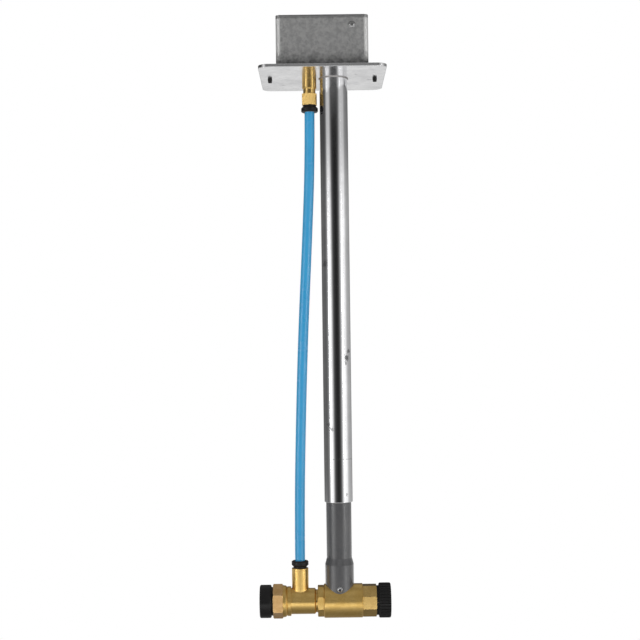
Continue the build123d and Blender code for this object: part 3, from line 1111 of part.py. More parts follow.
# Left port: sealing ring and grip ring, held by the nut
CHAMBER_END_X = TEE_LEFT_X + CHAMBER_DEPTH
with BuildPart() as port_seal:
    wire_ring(RUN_AXIS, (CHAMBER_END_X - PORT_SEAL_WIRE - SEATED_FIT,
                         AXIS_Z + PORT_PIPE_RADIUS + TURNING_FIT + PORT_SEAL_WIRE), PORT_SEAL_WIRE)
port_seal.part.label = "port_seal"
export_step(port_seal.part, "parts/port_seal.step")

GRIP_SHOULDER_X = TEE_LEFT_X - SLIDING_GAP
GRIP_LEFT_X = GRIP_SHOULDER_X + GRIP_IN_CHAMBER - GRIP_LENGTH
GRIP_SLOPE = (GRIP_SHOULDER_RADIUS - GRIP_TIP_RADIUS) / (GRIP_SHOULDER_X - GRIP_LEFT_X)
with BuildPart() as grip_ring:
    lengthwise([
        (GRIP_SHOULDER_X + GRIP_IN_CHAMBER, PORT_PIPE_RADIUS + GRIP_BORE_GAP),
        (GRIP_SHOULDER_X + GRIP_IN_CHAMBER, CHAMBER_RADIUS - SLIDING_GAP),
        (GRIP_SHOULDER_X, CHAMBER_RADIUS - SLIDING_GAP),
        (GRIP_SHOULDER_X, GRIP_SHOULDER_RADIUS),
        (GRIP_LEFT_X, GRIP_TIP_RADIUS),
        (GRIP_LEFT_X, PORT_PIPE_RADIUS + GRIP_BORE_GAP),
    ])
    with BuildSketch(Plane.YZ.offset(GRIP_LEFT_X)) as slit:
        with Locations((0, AXIS_Z + PORT_PIPE_RADIUS + GRIP_LENGTH / 2)):
            Rectangle(GRIP_SLIT, GRIP_LENGTH)
    extrude(amount=GRIP_LENGTH, mode=Mode.SUBTRACT)
grip_ring.part.label = "grip_ring"
export_step(grip_ring.part, "parts/grip_ring.step")

NUT_LEFT_X = COLLAR_LEFT_X - NUT_LENGTH
NUT_RIGHT_X = COLLAR_LEFT_X - SEATED_FIT
NUT_BORE = TEE_THREAD_RADIUS + TURNING_FIT
CONE_START_X = GRIP_SHOULDER_X - CONE_LEAD
with BuildPart() as port_nut:
    lengthwise_prism(NUT_FLATS, 6, NUT_LEFT_X, NUT_RIGHT_X, NUT_CHAMFER)
    lengthwise([
        (NUT_RIGHT_X, 0),
        (NUT_RIGHT_X, NUT_BORE),
        (CONE_START_X, NUT_BORE),
        (CONE_START_X, GRIP_SHOULDER_RADIUS - GRIP_SLOPE * CONE_LEAD + CONE_GAP),
        (GRIP_LEFT_X - CONE_GAP, GRIP_TIP_RADIUS),
        (GRIP_LEFT_X - CONE_GAP, NUT_MOUTH_RADIUS),
        (NUT_LEFT_X, NUT_MOUTH_RADIUS),
        (NUT_LEFT_X, 0),
    ], mode=Mode.SUBTRACT)
port_nut.part.label = "port_nut"
export_step(port_nut.part, "parts/port_nut.step")

# Dust plug in the left port
PLUG_NECK_X = NUT_LEFT_X - PLUG_NECK_LENGTH
PLUG_HEAD_X = PLUG_NECK_X - PLUG_HEAD_LENGTH
PLUG_SHANK_X = NUT_LEFT_X + PLUG_SHANK_LENGTH
with BuildPart() as dust_plug:
    lengthwise_sleeve(0, PLUG_HEAD_RADIUS, PLUG_HEAD_X, PLUG_NECK_X)
    fillet(dust_plug.edges().filter_by(GeomType.CIRCLE), PLUG_HEAD_ROUNDING)
    lengthwise_sleeve(0, PLUG_NECK_RADIUS, PLUG_NECK_X, NUT_LEFT_X - SEATED_FIT)
    lengthwise([
        (NUT_LEFT_X - SEATED_FIT, 0),
        (NUT_LEFT_X - SEATED_FIT, PORT_PIPE_RADIUS),
        (PLUG_SHANK_X - SHANK_LEAD, PORT_PIPE_RADIUS),
        (PLUG_SHANK_X, PORT_PIPE_RADIUS - SHANK_LEAD),
        (PLUG_SHANK_X, 0),
    ])
    lengthwise_sleeve(0, PLUG_HOLLOW, NUT_LEFT_X, PLUG_SHANK_X, mode=Mode.SUBTRACT)
dust_plug.part.label = "dust_plug"
export_step(dust_plug.part, "parts/dust_plug.step")

# Right port: flat gasket and ribbed screw plug
GASKET_RIGHT_X = VALVE_END_RIGHT + GASKET_THICKNESS
CAP_RIGHT_X = GASKET_RIGHT_X + CAP_LENGTH
with BuildPart() as plug_gasket:
    lengthwise_sleeve(PORT_THREAD_RADIUS + SLIDING_GAP, GASKET_RADIUS, VALVE_END_RIGHT, GASKET_RIGHT_X)
plug_gasket.part.label = "plug_gasket"
export_step(plug_gasket.part, "parts/plug_gasket.step")

with BuildPart() as screw_plug:
    lengthwise_sleeve(0, CAP_RADIUS, GASKET_RIGHT_X, CAP_RIGHT_X)
    fillet(screw_plug.edges().filter_by(GeomType.CIRCLE), CAP_ROUNDING)
    with BuildSketch(Plane.YZ.offset(GASKET_RIGHT_X)):
        with Locations((0, AXIS_Z)):
            with PolarLocations(CAP_RADIUS, CAP_RIBS):
                Circle(CAP_GROOVE_RADIUS)
    extrude(amount=CAP_LENGTH, mode=Mode.SUBTRACT)
    lengthwise([
        (GASKET_RIGHT_X, 0),
        (GASKET_RIGHT_X, PORT_THREAD_RADIUS),
        (VALVE_END_RIGHT - CAP_SHANK_LENGTH + SHANK_LEAD, PORT_THREAD_RADIUS),
        (VALVE_END_RIGHT - CAP_SHANK_LENGTH, PORT_THREAD_RADIUS - SHANK_LEAD),
        (VALVE_END_RIGHT - CAP_SHANK_LENGTH, 0),
    ])
    lengthwise_sleeve(0, CAP_HOLLOW, VALVE_END_RIGHT - CAP_SHANK_LENGTH, VALVE_END_RIGHT,
                      mode=Mode.SUBTRACT)
screw_plug.part.label = "screw_plug"
export_step(screw_plug.part, "parts/screw_plug.step")
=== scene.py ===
"""Looks of a telescopic ground tap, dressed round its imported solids. Metres, +Z up, -Y to the camera."""
from __future__ import annotations

import json
import logging
import math
from dataclasses import dataclass
from enum import Enum
from functools import cache
from typing import ClassVar

import bmesh
import bpy
from mathutils import Matrix, Vector
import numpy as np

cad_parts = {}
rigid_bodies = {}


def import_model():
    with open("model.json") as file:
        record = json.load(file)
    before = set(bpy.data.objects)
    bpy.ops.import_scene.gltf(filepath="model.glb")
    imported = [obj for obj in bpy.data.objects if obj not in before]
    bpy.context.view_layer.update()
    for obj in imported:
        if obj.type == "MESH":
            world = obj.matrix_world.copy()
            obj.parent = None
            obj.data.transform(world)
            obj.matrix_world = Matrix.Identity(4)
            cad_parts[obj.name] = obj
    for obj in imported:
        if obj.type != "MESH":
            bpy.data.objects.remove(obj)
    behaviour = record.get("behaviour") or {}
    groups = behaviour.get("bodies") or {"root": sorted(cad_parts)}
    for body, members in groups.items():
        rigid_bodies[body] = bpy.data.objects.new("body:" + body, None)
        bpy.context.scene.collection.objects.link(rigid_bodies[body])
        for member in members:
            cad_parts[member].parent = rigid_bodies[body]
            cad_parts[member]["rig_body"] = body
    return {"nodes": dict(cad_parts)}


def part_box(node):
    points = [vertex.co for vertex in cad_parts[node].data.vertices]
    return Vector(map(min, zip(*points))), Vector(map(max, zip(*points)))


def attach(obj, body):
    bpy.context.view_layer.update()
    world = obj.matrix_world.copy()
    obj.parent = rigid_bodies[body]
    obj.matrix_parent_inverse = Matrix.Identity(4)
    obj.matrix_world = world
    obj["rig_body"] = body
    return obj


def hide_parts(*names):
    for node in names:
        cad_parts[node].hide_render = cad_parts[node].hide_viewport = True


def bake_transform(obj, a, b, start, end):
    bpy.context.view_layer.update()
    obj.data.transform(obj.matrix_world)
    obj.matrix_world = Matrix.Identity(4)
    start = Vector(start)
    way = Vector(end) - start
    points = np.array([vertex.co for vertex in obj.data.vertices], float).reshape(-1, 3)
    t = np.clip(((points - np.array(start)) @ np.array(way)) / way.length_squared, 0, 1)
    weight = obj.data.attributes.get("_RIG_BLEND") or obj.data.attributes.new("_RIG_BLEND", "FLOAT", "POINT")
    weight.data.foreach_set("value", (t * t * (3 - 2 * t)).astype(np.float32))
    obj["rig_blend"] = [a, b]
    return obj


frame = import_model()
LOG = logging.getLogger("ground_tap")
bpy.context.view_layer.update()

Colour = tuple[float, float, float]
Point = tuple[float, float, float]
Span = tuple[float, float]
Stop = tuple[float, float]
Socket = bpy.types.NodeSocket
Form = bmesh.types.BMesh

MILLIMETRE = 0.001
WHITE = (1.0, 1.0, 1.0, 1.0)
# The mark that worn edges carry; the box's rounded corners carry it too, as a painted highlight.
WEAR_AND_SHEEN = "wear"
# Middle of the tee's branch, middle of the fitting under the flange, and height of the brass run's axis.
BRANCH_X = -0.0282
RISER_X = -0.0132
AXIS_Z = -0.5213


class Way(Enum):
    """Which way a piece was drawn or turned: along the brass run or upright, as the tube."""

    ALONG = (1.0, 0.0, 0.0)
    UPRIGHT = (0.0, 0.0, 1.0)


class Graph:
    """A node tree with short calls that add, set and link its nodes.

    Attributes:
        mix_inputs: Which inputs of a colour mix are its factor and its two colours.
        mix_output: Which of its outputs is the mixed colour.
    """

    mix_inputs = (0, 6, 7)
    mix_output = 2

    def __init__(self, tree: bpy.types.NodeTree) -> None:
        """Keep the tree that the calls work on."""
        self.tree = tree

    def feed(self, socket: Socket, value: object) -> None:
        """Link another socket to this one, or set its own value.

        Args:
            socket: The input to feed.
            value: The other socket, a value, or None to leave it as it is.
        """
        if isinstance(value, Socket):
            self.tree.links.new(value, socket)
        elif value is not None:
            socket.default_value = value

    def add(self, kind: str, settings: dict | None = None, **sockets: object) -> bpy.types.Node:
        """Add a node.

        Args:
            kind: The node's type, without its ShaderNode prefix.
            settings: Its properties.
            sockets: Its inputs by name, with _ for a space; a socket is linked and a value is set.

        Returns:
            The node.
        """
        node = self.tree.nodes.new("ShaderNode" + kind)
        for name, value in (settings or {}).items():
            setattr(node, name, value)
        for name, value in sockets.items():
            self.feed(node.inputs[name.replace("_", " ")], value)
        return node

    def use(self, group: bpy.types.NodeTree, **sockets: object) -> bpy.types.Node:
        """Place a shared group, with its inputs fed by name.

        Args:
            group: The group.
            sockets: Its inputs by name; a socket is linked and a value is set.

        Returns:
            The group's node.
        """
        node = self.add("Group", {"node_tree": group})
        for name, value in sockets.items():
            self.feed(node.inputs[name], value)
        return node

    def math(self, operation: str, first: object, second: object = None, third: object = None) -> Socket:
        """Add a Math node.

        Args:
            operation: What it works out.
            first: Its first value.
            second: Its second value.
            third: Its third value.

        Returns:
            Its result.
        """
        node = self.add("Math", {"operation": operation})
        for socket, value in zip(node.inputs, (first, second, third)):
            self.feed(socket, value)
        return node.outputs[0]

    def apart(self, first: object, second: object) -> Socket:
        """How far apart two values are."""
        return self.math("ABSOLUTE", self.math("SUBTRACT", first, second))

    def distance(self, first: Socket, second: Socket) -> Socket:
        """Work out how far apart two places are.

        Args:
            first: One place.
            second: The other place.

        Returns:
            The distance.
        """
        node = self.add("VectorMath", {"operation": "DISTANCE"})
        self.feed(node.inputs[0], first)
        self.feed(node.inputs[1], second)
        return node.outputs["Value"]

    def grey(self, level: Socket) -> Socket:
        """Make a level a grey."""
        return self.add("CombineColor", Red=level, Green=level, Blue=level).outputs[0]

    def blend(self, factor: object, first: object, second: object, mode: str = "MIX") -> Socket:
        """Mix two colours.

        Args:
            factor: Share of the second.
            first: One colour.
            second: The other colour.
            mode: How they are mixed.

        Returns:
            The mixed colour.
        """
        node = self.add("Mix", {"data_type": "RGBA", "blend_type": mode})
        for index, value in zip(self.mix_inputs, (factor, first, second)):
            self.feed(node.inputs[index], value)
        return node.outputs[self.mix_output]

    def scaled(self, vector: Socket, scale: Point) -> Socket:
        """Stretch a vector and return it."""
        node = self.add("Mapping", {"vector_type": "POINT"}, Vector=vector, Scale=scale)
        return node.outputs[0]

    def noise(self, vector: Socket, scale: object, detail: float = 3.0, roughness: float = 0.5) -> Socket:
        """Add a noise texture and return its factor."""
        node = self.add("TexNoise", Vector=vector, Scale=scale, Detail=detail, Roughness=roughness)
        return node.outputs["Fac"]

    def ramp(self, value: Socket, low: object, high: object, to_low: object = 0.0,
             to_high: object = 1.0) -> Socket:
        """Map a value from one range to another with soft ends.

        Args:
            value: The value.
            low: Where the range starts.
            high: Where it ends.
            to_low: What it gives at its start.
            to_high: What it gives at its end.

        Returns:
            The mapped value.
        """
        node = self.add("MapRange", {"interpolation_type": "SMOOTHSTEP"}, Value=value, From_Min=low,
                        From_Max=high, To_Min=to_low, To_Max=to_high)
        return node.outputs["Result"]


def empty_material(name: str) -> tuple[bpy.types.Material, Graph]:
    """Start a material with no nodes.

    Args:
        name: Its name.

    Returns:
        The material and its graph.
    """
    material = bpy.data.materials.new(name)
    material.use_nodes = True
    material.node_tree.nodes.clear()
    return material, Graph(material.node_tree)


class Patterns:
    """Shader node groups that the finishes share, each built once.

    Attributes:
        cloud_step: How many times finer the fine clouds are than the broad ones.
        cloud_shares: How much the broad and the fine clouds count.
        scratch_step: Scale of the scratches against that of the drawn lines.
        scratch_band: Where in the noise a scratch starts and is full.
        mark_edge: Level at which a worn spot, a stain line and a painted shade line end.
        spot_core: Level at which a worn spot is full.
        spot_rag: How much noise breaks a spot's outline.
        stain_and_shade_core: Level at which a stain line and a painted shade line are full.
        stain_and_shade_rag: How much noise breaks the outline of a stain line and of a painted shade line.
        rubbed_band: Where in the noise an edge starts to be rubbed and is bright.
    """

    cloud_step = 6.0
    cloud_shares = (0.7, 0.3)
    scratch_step = 0.35
    scratch_band = (0.66, 0.74)
    mark_edge = 1.35
    spot_core = 1.0
    spot_rag = 1.6
    stain_and_shade_core = 0.35
    stain_and_shade_rag = 0.9
    rubbed_band = (0.34, 0.60)

    @classmethod
    def group(cls, name: str, inputs: dict[str, tuple[str, object]],
              outputs: dict[str, str]) -> tuple[Graph, bpy.types.NodeOutputs, bpy.types.NodeInputs]:
        """Start a group.

        Args:
            name: The group's name.
            inputs: Kind and default of each input by name.
            outputs: Kind of each output by name.

        Returns:
            The group's graph, its inputs and its outputs, for its nodes to link to.
        """
        tree = bpy.data.node_groups.new(name, "ShaderNodeTree")
        for label, (kind, default) in inputs.items():
            socket = tree.interface.new_socket(label, in_out="INPUT", socket_type="NodeSocket" + kind)
            if default is not None:
                socket.default_value = default
        for label, kind in outputs.items():
            tree.interface.new_socket(label, in_out="OUTPUT", socket_type="NodeSocket" + kind)
        entry = tree.nodes.new("NodeGroupInput")
        leave = tree.nodes.new("NodeGroupOutput")
        return Graph(tree), entry.outputs, leave.inputs

    @classmethod
    @cache
    def cloudy(cls) -> bpy.types.NodeTree:
        """Two colours that drift into each other, in a broad and a fine scale.

        Returns:
            The group.
        """
        graph, entry, leave = cls.group(
            "cloudy",
            {"Vector": ("Vector", None), "Base": ("Color", (0.5, 0.5, 0.5, 1)),
             "Tint": ("Color", (0.4, 0.4, 0.4, 1)), "Scale": ("Float", 40.0),
             "Contrast": ("Float", 0.2)},
            {"Color": "Color", "Mask": "Float"})
        broad = graph.noise(entry["Vector"], entry["Scale"], detail=4.0, roughness=0.6)
        fine_scale = graph.math("MULTIPLY", entry["Scale"], cls.cloud_step)
        fine = graph.noise(entry["Vector"], fine_scale, detail=2.0)
        both = graph.math("ADD", graph.math("MULTIPLY", broad, cls.cloud_shares[0]),
                          graph.math("MULTIPLY", fine, cls.cloud_shares[1]))
        low = graph.math("SUBTRACT", 0.5, entry["Contrast"])
        high = graph.math("ADD", 0.5, entry["Contrast"])
        mask = graph.ramp(both, low, high)
        graph.feed(leave["Color"], graph.blend(mask, entry["Base"], entry["Tint"]))
        graph.feed(leave["Mask"], mask)
        return graph.tree

    @classmethod
    @cache
    def streaks(cls) -> bpy.types.NodeTree:
        """Fine drawn lines along a stretched vector, with a few deeper scratches among them.

        Returns:
            The group.
        """
        graph, entry, leave = cls.group(
            "streaks", {"Vector": ("Vector", None), "Scale": ("Float", 900.0)},
            {"Lines": "Float", "Scratches": "Float"})
        lines = graph.noise(entry["Vector"], entry["Scale"], roughness=0.7)
        coarse = graph.math("MULTIPLY", entry["Scale"], cls.scratch_step)
        rare = graph.noise(entry["Vector"], coarse, detail=1.0, roughness=0.4)
        graph.feed(leave["Lines"], lines)
        graph.feed(leave["Scratches"], graph.ramp(rare, *cls.scratch_band))
        return graph.tree

    @classmethod
    @cache
    def scuff(cls) -> bpy.types.NodeTree:
        """A ragged spot of wear round a place, as a mask.

        Returns:
            The group.
        """
        graph, entry, leave = cls.group(
            "scuff", {"Vector": ("Vector", None), "Place": ("Vector", None),
                      "Reach": ("Float", 0.004), "Grain": ("Float", 700.0)},
            {"Mask": "Float"})
        off = graph.distance(entry["Vector"], entry["Place"])
        near = graph.math("DIVIDE", off, entry["Reach"])
        ragged = graph.noise(entry["Vector"], entry["Grain"], roughness=0.7)
        level = graph.math("ADD", near, graph.math("MULTIPLY", ragged, cls.spot_rag))
        graph.feed(leave["Mask"], graph.ramp(level, cls.mark_edge, cls.spot_core))
        return graph.tree

    @classmethod
    @cache
    def stain_and_shade_line(cls) -> bpy.types.NodeTree:
        """A ragged line round a piece at one height, as a mask, for stains and for painted shade.

        Returns:
            The group.
        """
        graph, entry, leave = cls.group(
            "stain_and_shade_line", {"Vector": ("Vector", None), "Height": ("Float", 0.0), "Reach": ("Float", 0.001),
                      "Grain": ("Float", 260.0)},
            {"Mask": "Float"})
        height = graph.add("SeparateXYZ", Vector=entry["Vector"]).outputs["Z"]
        near = graph.math("DIVIDE", graph.apart(height, entry["Height"]), entry["Reach"])
        ragged = graph.noise(entry["Vector"], entry["Grain"], roughness=0.6)
        level = graph.math("ADD", near, graph.math("MULTIPLY", ragged, cls.stain_and_shade_rag))
        graph.feed(leave["Mask"], graph.ramp(level, cls.mark_edge, cls.stain_and_shade_core))
        return graph.tree

    @classmethod
    @cache
    def rubbed_and_sheen(cls) -> bpy.types.NodeTree:
        """Where a marked edge has rubbed bright, patchy up to a mark of 1, and where a mark above 1 lightens
        a face all over as a painted highlight, as a mask.

        Returns:
            The group.
        """
        graph, entry, leave = cls.group(
            "rubbed_and_sheen", {"Vector": ("Vector", None), "Edge": ("Float", 0.0), "Grain": ("Float", 420.0)},
            {"Mask": "Float"})
        broken = graph.noise(entry["Vector"], entry["Grain"], roughness=0.65)
        patchy = graph.math("MULTIPLY", entry["Edge"], graph.ramp(broken, *cls.rubbed_band))
        # Painted highlight: a mark above 1 lightens the whole face evenly.
        even = graph.math("MAXIMUM", graph.math("SUBTRACT", entry["Edge"], 1.0), 0.0)
        graph.feed(leave["Mask"], graph.math("MINIMUM", graph.math("ADD", patchy, even), 1.0))
        return graph.tree


@dataclass(frozen=True)
class Scuff:
    """A worn spot on a surface: its place, how far it reaches and how dark it is."""

    place: Point
    reach: float
    depth: float

    def mask(self, graph: Graph, place: Socket) -> Socket:
        """Where the spot shows."""
        spot = graph.use(Patterns.scuff(), Vector=place, Place=self.place, Reach=self.reach)
        return spot.outputs["Mask"]


@dataclass(frozen=True)
class StainAndShadeLine:
    """A dark line round an upright piece, used for stains and for painted shade: its height, how far it
    reaches and how dark it is.
    """

    height: float
    reach: float
    depth: float

    def mask(self, graph: Graph, place: Socket) -> Socket:
        """Where the line shows."""
        line = graph.use(Patterns.stain_and_shade_line(), Vector=place, Height=self.height, Reach=self.reach)
        return line.outputs["Mask"]


@dataclass(frozen=True)
class Finish:
    """A surface finish. Scales are in repeats a metre and heights in metres.

    Attributes:
        name: The material's name.
        slot: The name of the kind of stuff it is; not used.
        base: Main colour.
        tint: Colour that it drifts to.
        tint_scale: How fine the drift is.
        roughness: Mean roughness.
        grain_scale: How fine the grain is.
        grain_height: How high the grain stands.
        contrast: How soft the drift between the two colours is.
        metallic: 1 for metal, 0 for plastic and rubber.
        rough_spread: How much the roughness changes over the surface.
        drawn: The way that the piece was drawn or brushed, if it was.
        drawn_scale: How much the drawn lines are pulled out, against their width.
        line_depth: How deep the drawn lines are.
        line_shade: How much the drawn lines darken the colour.
        coat: Weight of the gloss over it.
        specular: Strength of a plastic's shine.
        rubbed_and_sheen: How much of the shine of rubbed edges, and of the painted highlight on marked
            corners, shows.
        rub_and_sheen_shine: Colour of a rubbed edge, and of a painted highlight, against the base.
        rub_and_sheen_rough: How much rougher a rubbed edge, and a painted highlight, is.
        scuffs: Worn spots.
        stains_and_shade_lines: Dark lines, real stains and painted shade.
        line_band: Where in the noise a drawn line is darkest and ends.
        rub_and_sheen_lift: Grey added to a rubbed edge and to a painted highlight.
        mark_shade: Colour of a mark, and of a painted shade line, against the tint.
        mark_rough: How much rougher a mark is.
        coat_roughness: Roughness of the gloss.
    """

    name: str
    slot: str
    base: Colour
    tint: Colour
    tint_scale: float
    roughness: float
    grain_scale: float
    grain_height: float
    contrast: float = 0.2
    metallic: float = 0.0
    rough_spread: float = 0.1
    drawn: Way | None = None
    drawn_scale: float = 0.015
    line_depth: float = 0.0
    line_shade: float = 0.0
    coat: float = 0.0
    specular: float = 0.5
    rubbed_and_sheen: float = 0.0
    rub_and_sheen_shine: float = 1.25
    rub_and_sheen_rough: float = -0.1
    scuffs: tuple[Scuff, ...] = ()
    stains_and_shade_lines: tuple[StainAndShadeLine, ...] = ()
    line_band: ClassVar[Span] = (0.3, 0.7)
    rub_and_sheen_lift: ClassVar[float] = 0.03
    mark_shade: ClassVar[float] = 0.2
    mark_rough: ClassVar[float] = 0.3
    coat_roughness: ClassVar[float] = 0.12

    @cache
    def material(self) -> bpy.types.Material:
        """Build this finish's material, the first time that it is asked for.

        Returns:
            The material.
        """
        material, graph = empty_material(self.name)
        place = graph.add("TexCoord").outputs["Object"]
        cloudy = graph.use(Patterns.cloudy(), Vector=place, Base=(*self.base, 1), Tint=(*self.tint, 1),
                           Scale=self.tint_scale, Contrast=self.contrast)
        colour = cloudy.outputs["Color"]
        rough = graph.math("MULTIPLY_ADD", cloudy.outputs["Mask"], self.rough_spread,
                           self.roughness - self.rough_spread / 2)
        grain = graph.noise(place, self.grain_scale, roughness=0.6)
        height = graph.math("MULTIPLY", grain, self.grain_height / MILLIMETRE)
        if self.drawn:
            scale = tuple(self.drawn_scale if part else 1.0 for part in self.drawn.value)
            lines = graph.use(Patterns.streaks(), Vector=graph.scaled(place, scale))
            depth = graph.math("MULTIPLY", lines.outputs["Lines"], self.line_depth / MILLIMETRE)
            height = graph.math("ADD", height, depth)
            shade = graph.ramp(lines.outputs["Lines"], *self.line_band, 1.0 - self.line_shade, 1.0)
            colour = graph.blend(1.0, colour, graph.grey(shade), "MULTIPLY")
            rough = graph.math("MULTIPLY_ADD", lines.outputs["Scratches"], self.rough_spread, rough)
        if self.rubbed_and_sheen:
            edge = graph.add("Attribute", {"attribute_type": "GEOMETRY", "attribute_name": WEAR_AND_SHEEN})
            wear_and_sheen = graph.use(Patterns.rubbed_and_sheen(), Vector=place, Edge=edge.outputs["Fac"])
            share = graph.math("MULTIPLY", wear_and_sheen.outputs["Mask"], self.rubbed_and_sheen)
            # Lightened colour of rubbed edges, which is also the painted highlight on the box's rounded
            # corners.
            bright = tuple(min(1.0, self.rub_and_sheen_shine * part + self.rub_and_sheen_lift) for part in self.base)
            colour = graph.blend(share, colour, (*bright, 1))
            rough = graph.math("MULTIPLY_ADD", share, self.rub_and_sheen_rough, rough)
        dark = tuple(self.mark_shade * part for part in self.tint)
        # Scuffs and stains darken the colour here; on the box steel these lines are painted shade.
        for mark in self.scuffs + self.stains_and_shade_lines:
            share = graph.math("MULTIPLY", mark.mask(graph, place), mark.depth)
            colour = graph.blend(share, colour, (*dark, 1))
            rough = graph.math("MULTIPLY_ADD", share, self.mark_rough, rough)
        bump = graph.add("Bump", Height=height, Strength=1.0, Distance=MILLIMETRE)
        shader = graph.add("BsdfPrincipled", Base_Color=colour, Roughness=rough, Metallic=self.metallic,
                           Normal=bump.outputs[0])
        shader.inputs["Coat Weight"].default_value = self.coat
        shader.inputs["Coat Roughness"].default_value = self.coat_roughness
        shader.inputs["Specular IOR Level"].default_value = self.specular
        leave = graph.add("OutputMaterial")
        graph.feed(leave.inputs["Surface"], shader.outputs[0])
        return material


@dataclass(frozen=True)
class Metal(Finish):
    """A bare metal's finish."""

    metallic: float = 1.0


PLATE_STEEL = Metal(
    name="polished_plate_steel", slot="plate_steel", base=(0.84, 0.84, 0.84), tint=(0.72, 0.72, 0.73),
    tint_scale=34.0, contrast=0.18, roughness=0.19, rough_spread=0.08, grain_scale=1200.0,
    grain_height=0.000002, drawn=Way.ALONG, drawn_scale=0.02, line_depth=0.000004, line_shade=0.06,
    rubbed_and_sheen=0.6,
    scuffs=(Scuff((0.033, -0.022, 0.0), 0.0045, 0.35), Scuff((0.047, 0.006, 0.0), 0.0060, 0.25),
            Scuff((-0.040, 0.030, 0.0), 0.0060, 0.20), Scuff((0.020, 0.046, 0.0), 0.0050, 0.20)))
# Box steel: its two dark lines are painted shade. One is darker towards the bottom, where the box meets the
# plate, and the other is a painted shadow line under the lid at the top. Its rounded corners are lightened
# all over as a painted highlight.
BOX_STEEL = Metal(
    name="mottled_box_steel", slot="box_steel", base=(0.80, 0.80, 0.79), tint=(0.50, 0.50, 0.50),
    tint_scale=230.0, contrast=0.14, roughness=0.44, grain_scale=900.0, grain_height=0.000016, rubbed_and_sheen=0.9,
    rub_and_sheen_shine=1.0, rub_and_sheen_rough=0.16, stains_and_shade_lines=(StainAndShadeLine(0.004, 0.0190, 0.90), StainAndShadeLine(0.052, 0.0030, 0.70)))
LID_STEEL = Metal(
    name="mottled_lid_steel", slot="box_steel", base=(0.46, 0.46, 0.46), tint=(0.30, 0.30, 0.30),
    tint_scale=120.0, contrast=0.18, roughness=0.40, rough_spread=0.14, grain_scale=900.0,
    grain_height=0.000010, rubbed_and_sheen=0.8,
    scuffs=(Scuff((0.018, -0.030, 0.054), 0.0060, 0.35), Scuff((-0.026, 0.012, 0.054), 0.0080, 0.30)))
TUBE_STEEL = Metal(
    name="bright_tube_steel", slot="tube_steel", base=(0.82, 0.82, 0.83), tint=(0.72, 0.72, 0.73),
    tint_scale=26.0, contrast=0.18, roughness=0.10, rough_spread=0.04, grain_scale=1400.0,
    grain_height=0.000001, drawn=Way.UPRIGHT, line_depth=0.000002, line_shade=0.08,
    scuffs=(Scuff((0.0208, -0.0100, -0.280), 0.0078, 0.95), Scuff((0.0226, -0.0078, -0.273), 0.0056, 0.80),
            Scuff((0.0196, -0.0110, -0.285), 0.0044, 0.60), Scuff((0.0006, -0.0094, -0.186), 0.0080, 0.80),
            Scuff((0.0046, -0.0125, -0.350), 0.0056, 0.70), Scuff((0.0014, -0.0102, -0.346), 0.0060, 0.90),
            Scuff((0.0190, -0.0115, -0.415), 0.0035, 0.50)),
    stains_and_shade_lines=(StainAndShadeLine(-0.380, 0.0009, 0.45),))
HARDWARE_STEEL = Metal(
    name="satin_hardware_steel", slot="hardware_steel", base=(0.58, 0.58, 0.59), tint=(0.44, 0.44, 0.44),
    tint_scale=110.0, roughness=0.30, rough_spread=0.12, grain_scale=1600.0, grain_height=0.000006,
    rubbed_and_sheen=0.7)
DULL_STEEL = Metal(
    name="dull_catch_steel", slot="hardware_steel", base=(0.42, 0.42, 0.42), tint=(0.30, 0.30, 0.30),
    tint_scale=260.0, roughness=0.46, rough_spread=0.12, grain_scale=1400.0, grain_height=0.000010)
WELD_STEEL = Metal(
    name="heat_tinted_weld", slot="hardware_steel", base=(0.50, 0.49, 0.48), tint=(0.34, 0.32, 0.31),
    tint_scale=420.0, roughness=0.42, rough_spread=0.16, grain_scale=1500.0, grain_height=0.000020)
BAR_STEEL = Metal(
    name="zinc_plated_steel", slot="bar_steel", base=(0.60, 0.60, 0.58), tint=(0.46, 0.45, 0.42),
    tint_scale=70.0, roughness=0.38, rough_spread=0.16, grain_scale=1300.0, grain_height=0.000008,
    drawn=Way.UPRIGHT, line_depth=0.000006, line_shade=0.08)
CAST_BRASS = Metal(
    name="cast_brass", slot="brass", base=(0.90, 0.62, 0.22), tint=(0.74, 0.48, 0.14), tint_scale=110.0,
    roughness=0.36, grain_scale=900.0, grain_height=0.000004, rubbed_and_sheen=0.7)
TURNED_BRASS = Metal(
    name="turned_brass", slot="brass", base=(0.80, 0.55, 0.20), tint=(0.64, 0.42, 0.14), tint_scale=90.0,
    roughness=0.25, rough_spread=0.08, grain_scale=1500.0, grain_height=0.000004, rubbed_and_sheen=0.7)
NUT_BRASS = Metal(
    name="forged_nut_brass", slot="brass", base=(0.84, 0.55, 0.26), tint=(0.68, 0.41, 0.16),
    tint_scale=140.0, roughness=0.34, rough_spread=0.12, grain_scale=1000.0, grain_height=0.000010,
    rubbed_and_sheen=0.8)
HANDLE_COAT = Finish(
    name="blue_powder_coat", slot="handle_zinc", base=(0.05, 0.15, 0.38), tint=(0.035, 0.11, 0.30),
    tint_scale=80.0, roughness=0.42, grain_scale=900.0, grain_height=0.000040, coat=0.2)
BLACK_PLASTIC = Finish(
    name="moulded_black_plastic", slot="black_plastic", base=(0.010, 0.010, 0.010),
    tint=(0.017, 0.016, 0.016), tint_scale=90.0, roughness=0.40, rough_spread=0.14, grain_scale=1500.0,
    grain_height=0.000014, specular=0.28, rubbed_and_sheen=0.25)
BLACK_RUBBER = Finish(
    name="matt_black_rubber", slot="black_rubber", base=(0.012, 0.012, 0.012), tint=(0.022, 0.022, 0.022),
    tint_scale=60.0, roughness=0.72, grain_scale=1800.0, grain_height=0.000020, specular=0.3)
